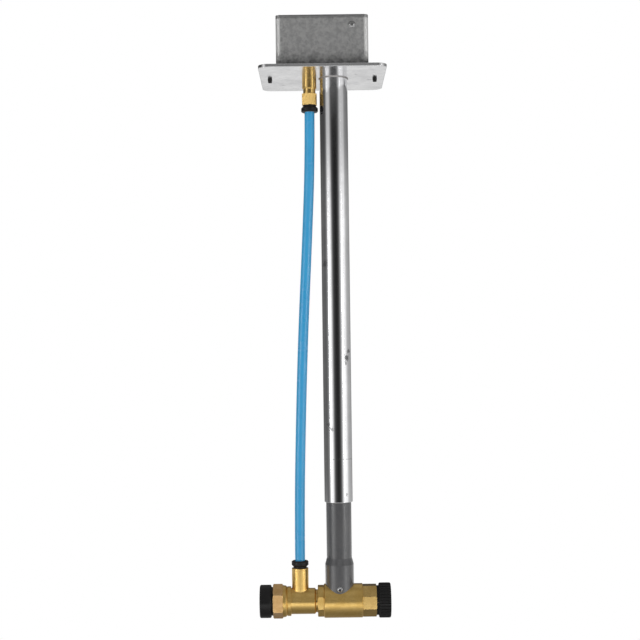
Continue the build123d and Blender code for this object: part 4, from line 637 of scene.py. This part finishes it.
GREY_PIPE = Finish(
    name="grey_pipe_plastic", slot="grey_pipe", base=(0.138, 0.138, 0.142), tint=(0.105, 0.105, 0.109),
    tint_scale=44.0, roughness=0.21, rough_spread=0.08, grain_scale=900.0, grain_height=0.000004,
    drawn=Way.UPRIGHT, line_depth=0.000004, line_shade=0.06, coat=0.5)
BLUE_PIPE = Finish(
    name="blue_pipe_plastic", slot="blue_pipe", base=(0.072, 0.500, 0.900), tint=(0.060, 0.445, 0.845),
    tint_scale=36.0, roughness=0.25, rough_spread=0.08, grain_scale=900.0, grain_height=0.000006, coat=0.3)
WHITE_PLASTIC = Finish(
    name="white_plastic", slot="white_plastic", base=(0.80, 0.79, 0.75), tint=(0.73, 0.72, 0.67),
    tint_scale=60.0, roughness=0.40, grain_scale=900.0, grain_height=0.000008)

SOLIDS_IN: dict[Finish, tuple[str, ...]] = {
    PLATE_STEEL: ("flange_plate",),
    BLACK_PLASTIC: ("flange_bushes", "top_bush", "upper_collet", "lower_collet", "dust_plug", "screw_plug"),
    BOX_STEEL: ("box_wall",),
    HARDWARE_STEEL: ("hinge_leaf", "hinge_pin", "catch_clip", "catch_nut", "lid_tab", "lid_hinge_leaf",
                     "handle_screw", "spindle_pin", "pipe_screw", "coupler_pin"),
    DULL_STEEL: ("catch_screw",),
    TUBE_STEEL: ("outer_tube", "valve_ball"),
    WELD_STEEL: ("tube_weld",),
    TURNED_BRASS: ("bulkhead_body", "bulkhead_nut", "hose_spigot", "valve_end", "gland_nut", "run_nipple",
                   "valve_stem"),
    BLACK_RUBBER: ("bulkhead_washer", "spigot_ring", "upper_pipe_seal", "friction_ring", "valve_end_seal",
                   "lower_pipe_seal", "port_seal", "stem_rings", "plug_gasket"),
    BLUE_PIPE: ("riser_pipe",),
    LID_STEEL: ("lid_plate",),
    HANDLE_COAT: ("lever_handle",),
    BAR_STEEL: ("drive_spindle", "drive_tube", "drive_bar", "drive_coupler"),
    GREY_PIPE: ("inner_pipe",),
    CAST_BRASS: ("valve_body", "tee_body"),
    WHITE_PLASTIC: ("valve_seats", "grip_ring"),
    NUT_BRASS: ("port_nut",),
}
NODE_FINISHES: dict[str, Finish] = {node: finish for finish, nodes in SOLIDS_IN.items() for node in nodes}


def link(name: str, mesh: bpy.types.Mesh) -> bpy.types.Object:
    """Put a mesh in the scene as an object at the origin.

    Args:
        name: The object's name.
        mesh: Its mesh.

    Returns:
        The object.
    """
    piece = bpy.data.objects.new(name, mesh)
    bpy.context.scene.collection.objects.link(piece)
    return piece


def mesh_of(name: str, form: Form) -> bpy.types.Mesh:
    """Turn a worked form into a mesh.

    Args:
        name: The mesh's name.
        form: The form, used up here.

    Returns:
        The mesh.
    """
    mesh = bpy.data.meshes.new(name)
    form.to_mesh(mesh)
    form.free()
    return mesh


def finish_piece(piece: bpy.types.Object, finish: Finish, sharp_degrees: float = 35.0) -> bpy.types.Object:
    """Give a new piece its material and smooth shading with sharp edges kept.

    Args:
        piece: The new mesh object.
        finish: What it is finished in.
        sharp_degrees: Edges that turn more than this stay sharp.

    Returns:
        The same object.
    """
    piece.data.materials.clear()
    piece.data.materials.append(finish.material())
    piece.data.shade_smooth()
    piece.data.set_sharp_from_angle(angle=math.radians(sharp_degrees))
    return piece


@dataclass
class Studio:
    """White background, soft boxes to both sides, a dim room behind the camera, pale floor.

    A bearing is in degrees, 0 straight behind the camera and rising to its right. A height or a depth of
    the room is the Z or Y of a direction of length 1. Two values are where a change starts and is full.

    Attributes:
        focal_pixels: Focal length in pixels of the picture.
        picture_pixels: Width of the picture.
        sensor: Width of the sensor in millimetres.
        clip: Nearest and farthest that the camera sees.
        place: Where the camera stands.
        pitch: How far it looks up, in degrees.
        roll: How far it leans to the right, in degrees.
        floor_z: Height of the floor, below the longest reach of the tap.
        floor_radius: Radius of the floor.
        floor_sides: Sides of the floor.
        floor_grey: Colour of the floor's middle.
        floor_fade: Where the floor starts to turn white and is white, as shares of its radius.
        room: Bearings round the room with its level there.
        ground: Heights of the ground in front with its level there.
        ground_behind: Heights of the ground behind the object with its level there.
        front_wall: Upper wall behind the camera.
        front_depth: Depth over which that wall comes in.
        front_height: Height over which it comes in.
        behind_depth: Depth over which the ground behind comes in.
        ceiling: The ceiling.
        ceiling_height: Height over which it comes in.
        near_edge: Height over which the ground in front comes in.
        far_edge: Height over which the ground behind comes in.
        wall_height: Height over which the side walls dim.
        wall_fall: Share of their level that is left above it.
        lamps: Bearing and level of each tall lamp.
        lamp_width: Half the width of a lamp, in degrees.
        lamp_core: Share of that half where the lamp is at its full level.
        lamp_middle: Height between the lamps' upper and lower halves.
        lamp_halves: How far from there a half comes in.
        table_z: Height of the table top.
        table_near: Y of its edge below the object.
        table_far: Y of its edge near the camera.
        table_half: Half its width.
        table_parts: Parts of its width and of its depth.
        table_full: How far in front of the object it has its full level.
        table_level: That level.
        table_share: Share of that level at the near edge.
        table_end: Share of the far edge's distance where it starts to fade out.
    """

    focal_pixels: float = 1329.9
    picture_pixels: int = 640
    sensor: float = 36.0
    clip: Span = (0.05, 50.0)
    place: Point = (-0.00534, -1.3294, -0.2649)
    pitch: float = 1.001
    roll: float = 0.72
    floor_z: float = -0.80
    floor_radius: float = 1.0
    floor_sides: int = 96
    floor_grey: Colour = (0.86, 0.86, 0.85)
    floor_fade: Span = (0.25, 0.97)
    room: tuple[Stop, ...] = (
        (-180.0, 0.12), (-125.0, 0.16), (-100.0, 0.13), (-84.0, 0.18), (-74.0, 0.40), (-64.0, 1.15),
        (-44.0, 1.30), (-36.0, 0.70), (-27.0, 0.18), (-16.0, 0.05), (0.0, 0.02), (14.0, 0.03), (22.0, 0.08),
        (31.0, 0.26), (40.0, 0.80), (50.0, 1.25), (78.0, 1.20), (90.0, 0.72), (104.0, 0.50), (140.0, 0.42),
        (180.0, 0.12))
    ground: tuple[Stop, ...] = (
        (-1.0, 0.18), (-0.93, 0.22), (-0.80, 0.30), (-0.63, 0.50), (-0.42, 0.80), (-0.30, 0.90))
    ground_behind: tuple[Stop, ...] = (
        (-1.0, 0.20), (-0.85, 0.24), (-0.50, 0.34), (-0.36, 0.85), (-0.18, 0.92))
    front_wall: Colour = (0.55, 0.55, 0.55)
    front_depth: Span = (-0.80, -0.97)
    front_height: Span = (0.16, 0.28)
    behind_depth: Span = (-0.05, 0.30)
    ceiling: Colour = (0.36, 0.36, 0.36)
    ceiling_height: Span = (0.35, 0.75)
    near_edge: Span = (-0.22, -0.42)
    far_edge: Span = (-0.098, -0.200)
    wall_height: Span = (0.100, 0.155)
    wall_fall: float = 0.50
    lamps: tuple[Stop, ...] = ((-59.0, 16.0), (54.0, 13.0))
    lamp_width: float = 3.2
    lamp_core: float = 0.5
    lamp_middle: float = -0.010
    lamp_halves: Span = (0.095, 0.055)
    table_z: float = -0.74
    table_near: float = -0.12
    table_far: float = -1.20
    table_half: float = 1.2
    table_parts: tuple[int, int] = (4, 8)
    table_full: float = 0.70
    table_level: float = 1.9
    table_share: float = 0.15
    table_end: float = 0.8

    def build(self) -> None:
        """Set up the camera, the surroundings, the floor and the table top."""
        self.camera()
        self.surroundings()
        self.floor()
        self.table()
        LOG.info("studio ready")

    def camera(self) -> None:
        """Stand the camera where the photograph was taken from."""
        lens = bpy.data.cameras.new("camera")
        lens.sensor_fit = "HORIZONTAL"
        lens.sensor_width = self.sensor
        lens.lens = self.focal_pixels / self.picture_pixels * self.sensor
        lens.clip_start, lens.clip_end = self.clip
        stand = bpy.data.objects.new("camera", lens)
        bpy.context.scene.collection.objects.link(stand)
        tilt = Matrix.Rotation(math.radians(90.0 + self.pitch), 4, "X")
        turn = Matrix.Rotation(math.radians(-self.roll), 4, "Z")
        stand.matrix_world = Matrix.Translation(self.place) @ tilt @ turn
        bpy.context.scene.camera = stand
        bpy.context.scene.view_settings.view_transform = "Standard"
        bpy.context.scene.view_settings.look = "None"

    def surroundings(self) -> None:
        """Light the object from a fixed room, and show the camera plain white."""
        world = bpy.data.worlds.new("room")
        world.use_nodes = True
        bpy.context.scene.world = world
        graph = Graph(world.node_tree)
        world.node_tree.nodes.clear()
        ways = graph.add("SeparateXYZ", Vector=graph.add("TexCoord").outputs["Generated"])
        depth, height = ways.outputs["Y"], ways.outputs["Z"]
        bearing = graph.math("ARCTAN2", ways.outputs["X"], graph.math("MULTIPLY", depth, -1.0))
        wall = self.walls(graph, bearing, height)
        wall = self.close_room(graph, depth, height, wall)
        wall = self.hang_lamps(graph, bearing, height, wall)
        sees = graph.add("LightPath").outputs["Is Camera Ray"]
        background = graph.add("Background", Color=graph.blend(sees, wall, WHITE), Strength=1.0)
        leave = graph.add("OutputWorld")
        graph.feed(leave.inputs["Surface"], background.outputs[0])

    def walls(self, graph: Graph, bearing: Socket, height: Socket) -> Socket:
        """Make the wall round the room, dimmer above the object's height.

        Args:
            graph: The graph to add to.
            bearing: Bearing of the direction looked in.
            height: Its height.

        Returns:
            The colour of the wall.
        """
        turned = graph.math("MULTIPLY_ADD", bearing, 0.5 / math.pi, 0.5)
        wall = self.levels(graph, turned, [(0.5 + degrees / 360.0, level) for degrees, level in self.room])
        fall = graph.ramp(height, *self.wall_height, 1.0, self.wall_fall)
        return graph.blend(1.0, wall, graph.grey(fall), "MULTIPLY")

    def close_room(self, graph: Graph, depth: Socket, height: Socket, wall: Socket) -> Socket:
        """Add the upper front wall, the ground before and behind the object, and the ceiling.

        Args:
            graph: The graph to add to.
            depth: Depth of the direction looked in.
            height: Its height.
            wall: The room so far.

        Returns:
            The colour of the room.
        """
        sunk = graph.math("ADD", height, 1.0)
        near = self.levels(graph, sunk, [(place + 1.0, level) for place, level in self.ground])
        far = self.levels(graph, sunk, [(place + 1.0, level) for place, level in self.ground_behind])
        beyond = graph.math("MULTIPLY", graph.ramp(depth, *self.behind_depth),
                            graph.ramp(height, *self.far_edge))
        front = graph.math("MULTIPLY", graph.ramp(depth, *self.front_depth),
                           graph.ramp(height, *self.front_height))
        above = graph.ramp(height, *self.ceiling_height)
        wall = graph.blend(front, wall, (*self.front_wall, 1))
        wall = graph.blend(graph.ramp(height, *self.near_edge), wall, near)
        wall = graph.blend(beyond, wall, far)
        return graph.blend(above, wall, (*self.ceiling, 1))

    def hang_lamps(self, graph: Graph, bearing: Socket, height: Socket, wall: Socket) -> Socket:
        """Add the tall lamps.

        Args:
            graph: The graph to add to.
            bearing: Bearing of the direction looked in.
            height: Its height.
            wall: The room so far.

        Returns:
            The colour of the room with its lamps.
        """
        tall = graph.ramp(graph.apart(height, self.lamp_middle), *self.lamp_halves)
        for degrees, level in self.lamps:
            off = graph.apart(bearing, math.radians(degrees))
            strip = graph.ramp(off, math.radians(self.lamp_width),
                               math.radians(self.lamp_core * self.lamp_width))
            wall = graph.blend(graph.math("MULTIPLY", strip, tall), wall, (level, level, level, 1))
        return wall

    def levels(self, graph: Graph, place: Socket, stops: list[Stop]) -> Socket:
        """Grey levels along a line.

        Args:
            graph: The graph to add to.
            place: Where on the line, from 0 to 1.
            stops: Place and level of each stop.

        Returns:
            The colour at the place.
        """
        band = graph.add("ValToRGB", Fac=place)
        marks = band.color_ramp.elements
        while len(marks) > 1:
            marks.remove(marks[-1])
        for index, (position, level) in enumerate(stops):
            mark = marks[0] if index == 0 else marks.new(position)
            mark.position = position
            mark.color = (level, level, level, 1.0)
        return band.outputs["Color"]

    def floor(self) -> None:
        """Lay a pale floor below the longest reach of the tap, fading to white, clear from underneath."""
        form = bmesh.new()
        bmesh.ops.create_circle(form, cap_ends=True, segments=self.floor_sides, radius=self.floor_radius,
                                matrix=Matrix.Translation((0, 0, self.floor_z)))
        material, graph = empty_material("pale_floor")
        ways = graph.add("SeparateXYZ", Vector=graph.add("TexCoord").outputs["Object"])
        across = graph.math("POWER", ways.outputs["X"], 2.0)
        along = graph.math("POWER", ways.outputs["Y"], 2.0)
        radius = graph.math("SQRT", graph.math("ADD", across, along))
        fade = graph.ramp(radius, *(share * self.floor_radius for share in self.floor_fade))
        glow = graph.add("Emission", Strength=1.0, Color=graph.blend(fade, (*self.floor_grey, 1), WHITE))
        mixed = graph.add("MixShader", Fac=graph.add("NewGeometry").outputs["Backfacing"])
        graph.feed(mixed.inputs[1], glow.outputs[0])
        graph.feed(mixed.inputs[2], graph.add("BsdfTransparent").outputs[0])
        leave = graph.add("OutputMaterial")
        graph.feed(leave.inputs["Surface"], mixed.outputs[0])
        floor = self.stand("floor", form, material)
        floor.visible_glossy = False
        floor.visible_diffuse = False

    def table(self) -> None:
        """Lay a lit table top in front and below, which only the object sees, brighter away from it."""
        form = bmesh.new()
        middle = (self.table_near + self.table_far) / 2
        reach = (self.table_near - self.table_far) / 2
        bmesh.ops.create_grid(form, x_segments=self.table_parts[0], y_segments=self.table_parts[1], size=1.0,
                              matrix=Matrix.Translation((0, middle, self.table_z))
                              @ Matrix.Diagonal((self.table_half, reach, 1.0, 1.0)))
        material, graph = empty_material("lit_table_top")
        ways = graph.add("SeparateXYZ", Vector=graph.add("TexCoord").outputs["Object"])
        away = graph.math("MULTIPLY", -1.0, ways.outputs["Y"])
        level = graph.ramp(away, -self.table_near, self.table_full,
                           self.table_share * self.table_level, self.table_level)
        end = graph.ramp(away, -self.table_far, -self.table_end * self.table_far)
        glow = graph.add("Emission", Strength=graph.math("MULTIPLY", level, end), Color=WHITE)
        leave = graph.add("OutputMaterial")
        graph.feed(leave.inputs["Surface"], glow.outputs[0])
        self.stand("table_top", form, material).visible_camera = False

    def stand(self, name: str, form: Form, material: bpy.types.Material) -> bpy.types.Object:
        """Put a piece of the studio in its place.

        Args:
            name: Its name.
            form: Its form, used up here.
            material: What it is made of.

        Returns:
            The piece.
        """
        piece = link(name, mesh_of(name, form))
        piece.data.materials.append(material)
        return piece


def solid_copy(node: str, merge: float = 0.001 * MILLIMETRE, flat_degrees: float = 0.4) -> Form:
    """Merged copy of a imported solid.

    Args:
        node: The solid's name.
        merge: Points nearer than this become one.
        flat_degrees: Neighbouring faces that turn less than this become one.

    Returns:
        Its mesh, closed and ready to be worked on.
    """
    form = bmesh.new()
    form.from_mesh(frame["nodes"][node].data)
    bmesh.ops.remove_doubles(form, verts=form.verts, dist=merge)
    bmesh.ops.dissolve_limit(form, angle_limit=math.radians(flat_degrees), verts=form.verts,
                             edges=form.edges)
    return form


def finished_solid(name: str, form: Form, node: str, finish: Finish) -> bpy.types.Object:
    """Put a worked copy of a solid in its place, on its body.

    Args:
        name: The new piece's name.
        form: Its mesh, used up here.
        node: The solid it stands for.
        finish: What it is finished in.

    Returns:
        The new piece.
    """
    piece = finish_piece(link(name, mesh_of(name, form)), finish)
    weigh = piece.modifiers.new("weighted", "WEIGHTED_NORMAL")
    weigh.keep_sharp = True
    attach(piece, frame["nodes"][node]["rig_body"])
    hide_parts(node)
    return piece


@dataclass(frozen=True)
class Thread:
    """A screw thread along the brass run, cut in a worked solid.

    Attributes:
        crest: Radius of the ridge's crest.
        root: Radius that the shank is taken down to.
        starts: Where the ridge starts, from the left end of the solid's box.
        length: How far it runs.
        pitch: How far a turn goes.
        steps: Steps a turn.
        slack: How far from the crest's radius a point still belongs to the shank.
        sunk: How far the ridge's foot is sunk in the shank.
        foot_half: Half the width of the ridge's foot, as a share of the pitch.
        crest_half: Half the width of its crest, as a share of the pitch.
    """

    crest: float
    root: float
    starts: float
    length: float
    pitch: float
    steps: int = 48
    slack: float = 0.05 * MILLIMETRE
    sunk: float = 0.1 * MILLIMETRE
    foot_half: float = 0.45
    crest_half: float = 0.06

    def cut(self, form: Form, node: str) -> None:
        """Take the shank down to the thread's root and lay the ridge round it.

        Args:
            form: The solid's mesh.
            node: The solid's name, for its place.
        """
        axis = Vector(Way.ALONG.value)
        low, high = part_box(node)
        foot = Vector((low[0], (low[1] + high[1]) / 2, AXIS_Z))
        self.take_down(form, foot, axis)
        side = Vector((0, -1, 0))
        first = foot + axis * self.starts
        shape = ((self.root - self.sunk, -self.foot_half), (self.crest, -self.crest_half),
                 (self.crest, self.crest_half), (self.root - self.sunk, self.foot_half))
        ridge = [form.verts.new(first + side * radius + axis * self.pitch * share)
                 for radius, share in shape]
        start = form.faces.new(ridge)
        turns = self.length / self.pitch
        steps = round(turns * self.steps)
        spun = bmesh.ops.spin(form, geom=ridge + list(start.edges), cent=foot, axis=axis,
                              dvec=axis * (self.length / steps), angle=2 * math.pi * turns, steps=steps,
                              use_merge=False)
        last = [item for item in spun["geom_last"] if isinstance(item, bmesh.types.BMEdge)]
        bmesh.ops.contextual_create(form, geom=last)
        bmesh.ops.recalc_face_normals(form, faces=form.faces)

    def take_down(self, form: Form, foot: Vector, axis: Vector) -> None:
        """Bring the shank under the thread from the crest's radius down to the root's.

        Args:
            form: The solid's mesh.
            foot: Point of the axis at the left end of the solid's box.
            axis: Direction of the axis.
        """
        for vertex in form.verts:
            away = vertex.co - foot
            height = away.dot(axis)
            radial = away - axis * height
            on_crest = abs(radial.length - self.crest) < self.slack
            if on_crest and self.starts - self.pitch < height < self.starts + self.length + self.pitch:
                vertex.co = foot + axis * height + radial * (self.root / self.crest)


@dataclass
class BrokenEdges:
    """Solids whose hard corners are broken by a small bevel, so that they catch light and wear bright.

    Attributes:
        widths: Each solid with its bevel's width in millimetres.
        threads: Solids with a thread that shows.
        highlighted_rounds: Solids whose upright rounded corners get a painted highlight through the wear
            mark.
        round_highlight_mark: Mark of those corners, over 1 so that the painted highlight lightens them all
            over.
        sharp_degrees: An edge that turns more than this is a hard corner.
        segments: Faces across a bevel.
        corner_turn: How far a rounded corner's normal leaves both walls.
        corner_lean: How far it may lean.
    """

    widths: tuple[tuple[str, float], ...] = (
        ("valve_body", 0.35), ("valve_end", 0.35), ("port_nut", 0.30), ("tee_body", 0.25),
        ("run_nipple", 0.20), ("bulkhead_body", 0.20), ("bulkhead_nut", 0.20), ("hose_spigot", 0.20),
        ("gland_nut", 0.20), ("screw_plug", 0.25), ("dust_plug", 0.25), ("box_wall", 0.30),
        ("lid_plate", 0.20), ("hinge_leaf", 0.15), ("lid_hinge_leaf", 0.15), ("catch_screw", 0.15),
        ("pipe_screw", 0.12), ("handle_screw", 0.15))
    threads: tuple[tuple[str, Thread], ...] = (
        ("screw_plug", Thread(crest=0.0120, root=0.0112, starts=0.0010, length=0.0074, pitch=0.0018)),
        ("tee_body", Thread(crest=0.0132, root=0.0126, starts=0.0008, length=0.0050, pitch=0.0014)))
    # Painted highlight on the box's upright rounded corners.
    highlighted_rounds: tuple[str, ...] = ("box_wall",)
    round_highlight_mark: float = 1.75
    sharp_degrees: float = 32.0
    segments: int = 2
    corner_turn: float = 0.05
    corner_lean: float = 0.1

    def build(self) -> None:
        """Work each solid on the list."""
        threads = dict(self.threads)
        for node, width in self.widths:
            form = solid_copy(node)
            self.bevel(form, width * MILLIMETRE)
            # Painted highlight: the box's rounded corners are marked to be lightened all over.
            if node in self.highlighted_rounds:
                self.paint_round_highlights(form)
            if node in threads:
                threads[node].cut(form, node)
            finished_solid(node + "_finished", form, node, NODE_FINISHES[node])
            LOG.info("%s ready", node)

    def bevel(self, form: Form, width: float) -> None:
        """Bevel the sharp edges and mark the new faces for wear.

        Args:
            form: The mesh.
            width: How wide the bevel is.
        """
        sharp = [edge for edge in form.edges
                 if edge.is_manifold and edge.calc_face_angle(0.0) > math.radians(self.sharp_degrees)]
        result = bmesh.ops.bevel(form, geom=sharp, offset=width, offset_type="OFFSET",
                                 segments=self.segments, profile=0.5, affect="EDGES", clamp_overlap=True,
                                 material=-1)
        wear_and_sheen = form.loops.layers.float.new(WEAR_AND_SHEEN)
        for face in result["faces"]:
            for corner in face.loops:
                corner[wear_and_sheen] = 1.0

    def paint_round_highlights(self, form: Form) -> None:
        """Mark the upright rounded corners for an even painted highlight.

        Args:
            form: The mesh.
        """
        wear_and_sheen = form.loops.layers.float[WEAR_AND_SHEEN]
        for face in form.faces:
            turn = min(abs(face.normal.x), abs(face.normal.y))
            if turn > self.corner_turn and abs(face.normal.z) < self.corner_lean:
                for corner in face.loops:
                    corner[wear_and_sheen] = self.round_highlight_mark


@dataclass
class WeldBead:
    """Rippled weld between the plate and the outer tube.

    Attributes:
        bead: Radius of the bead.
        ripples: How many there are round the tube.
        ripple: How high a ripple stands.
        slant: How fast the ripples lean over with height, in radians a metre.
        droop: How much of a ripple hangs down.
        sides: Sides of the bead's round section.
        steps: Steps round the tube.
    """

    bead: float = 0.0008
    ripples: int = 52
    ripple: float = 0.00014
    slant: float = 900.0
    droop: float = 0.5
    sides: int = 14
    steps: int = 208

    def build(self) -> None:
        """Spin the bead round the tube and ripple it."""
        low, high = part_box("outer_tube")
        radius = (high[0] - low[0]) / 2
        centre = Vector(((low[0] + high[0]) / 2, 0.0, 0.0))
        form = bmesh.new()
        bmesh.ops.create_circle(form, segments=self.sides, radius=self.bead,
                                matrix=Matrix.Translation(centre + Vector((radius, 0.0, 0.0)))
                                @ Matrix.Rotation(math.radians(90.0), 4, "X"))
        ring = list(form.verts) + list(form.edges)
        bmesh.ops.spin(form, geom=ring, cent=centre, axis=(0, 0, 1), angle=2 * math.pi, steps=self.steps,
                       use_merge=True)
        bmesh.ops.recalc_face_normals(form, faces=form.faces)
        for vertex in form.verts:
            away = vertex.co - centre
            turn = math.atan2(away.y, away.x)
            swell = self.ripple * math.sin(self.ripples * turn + self.slant * away.z)
            outwards = Vector((away.x, away.y, 0.0)).normalized()
            vertex.co += outwards * swell - Vector((0.0, 0.0, self.droop * swell))
        bead = finish_piece(link("weld_bead", mesh_of("weld_bead", form)), WELD_STEEL)
        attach(bead, "upper_housing")
        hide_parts("tube_weld")
        LOG.info("weld bead ready")


@dataclass
class RiserPipe:
    """Blue plastic pipe from the fitting under the flange to the tee, along the route of its solid.

    Attributes:
        route: Points that guide the pipe's line, from its upper end.
        diameter: Its outside.
        length: Its real length; not used.
        blend_from: Height below which it starts to stretch with the telescope.
        blend_to: Height below which it goes with the tee.
        order: Order of the line's spline.
        steps: Steps between two points of the route.
        roundness: Points on a quarter of its section, but for the ends.
    """

    route: tuple[Point, ...] = (
        (RISER_X, 0.0, -0.0105), (RISER_X, 0.0, -0.0760), (-0.0173, 0.0, -0.1640), (-0.0224, 0.0, -0.2560),
        (-0.0258, 0.0, -0.3460), (BRANCH_X, 0.0, -0.4360), (BRANCH_X, 0.0, -0.5042))
    diameter: float = 0.010
    length: float = 0.494
    blend_from: float = -0.045
    blend_to: float = -0.497
    order: int = 3
    steps: int = 24
    roundness: int = 10

    def curve(self, bevel: float) -> bpy.types.Mesh:
        """Mesh of the route's spline.

        Args:
            bevel: Radius of the pipe round it, or 0 for the line alone.

        Returns:
            The mesh.
        """
        route = bpy.data.curves.new("riser_route", "CURVE")
        route.dimensions = "3D"
        spline = route.splines.new("NURBS")
        spline.points.add(len(self.route) - 1)
        for point, place in zip(spline.points, self.route):
            point.co = (*place, 1.0)
        spline.use_endpoint_u = True
        spline.order_u = self.order
        spline.resolution_u = self.steps
        route.bevel_depth = bevel
        route.bevel_resolution = self.roundness
        route.use_fill_caps = True
        carrier = bpy.data.objects.new("riser_route", route)
        mesh = bpy.data.meshes.new_from_object(carrier)
        bpy.data.objects.remove(carrier)
        return mesh

    def build(self) -> None:
        line = [tuple(vertex.co) for vertex in self.curve(0.0).vertices]
        pipe = link("riser_hose", self.curve(self.diameter / 2))
        finish_piece(pipe, BLUE_PIPE)
        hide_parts("riser_pipe")
        pipe.visible_glossy = False
        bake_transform(pipe, "upper_housing", "lower_housing", (RISER_X, 0.0, self.blend_from),
                 (RISER_X, 0.0, self.blend_to))
        LOG.info("riser pipe ready")


def dress_nodes() -> None:
    """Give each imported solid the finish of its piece."""
    for name, finish in NODE_FINISHES.items():
        part = frame["nodes"][name]
        if part.material_slots:
            for slot in part.material_slots:
                slot.material = finish.material()
        else:
            part.data.materials.append(finish.material())
    LOG.info("%d solids dressed", len(NODE_FINISHES))


def main() -> None:
    """Build the studio and every piece."""
    logging.basicConfig(level=logging.INFO)
    Studio().build()
    RiserPipe().build()
    dress_nodes()
    BrokenEdges().build()
    WeldBead().build()


if __name__ == "__main__":
    main()
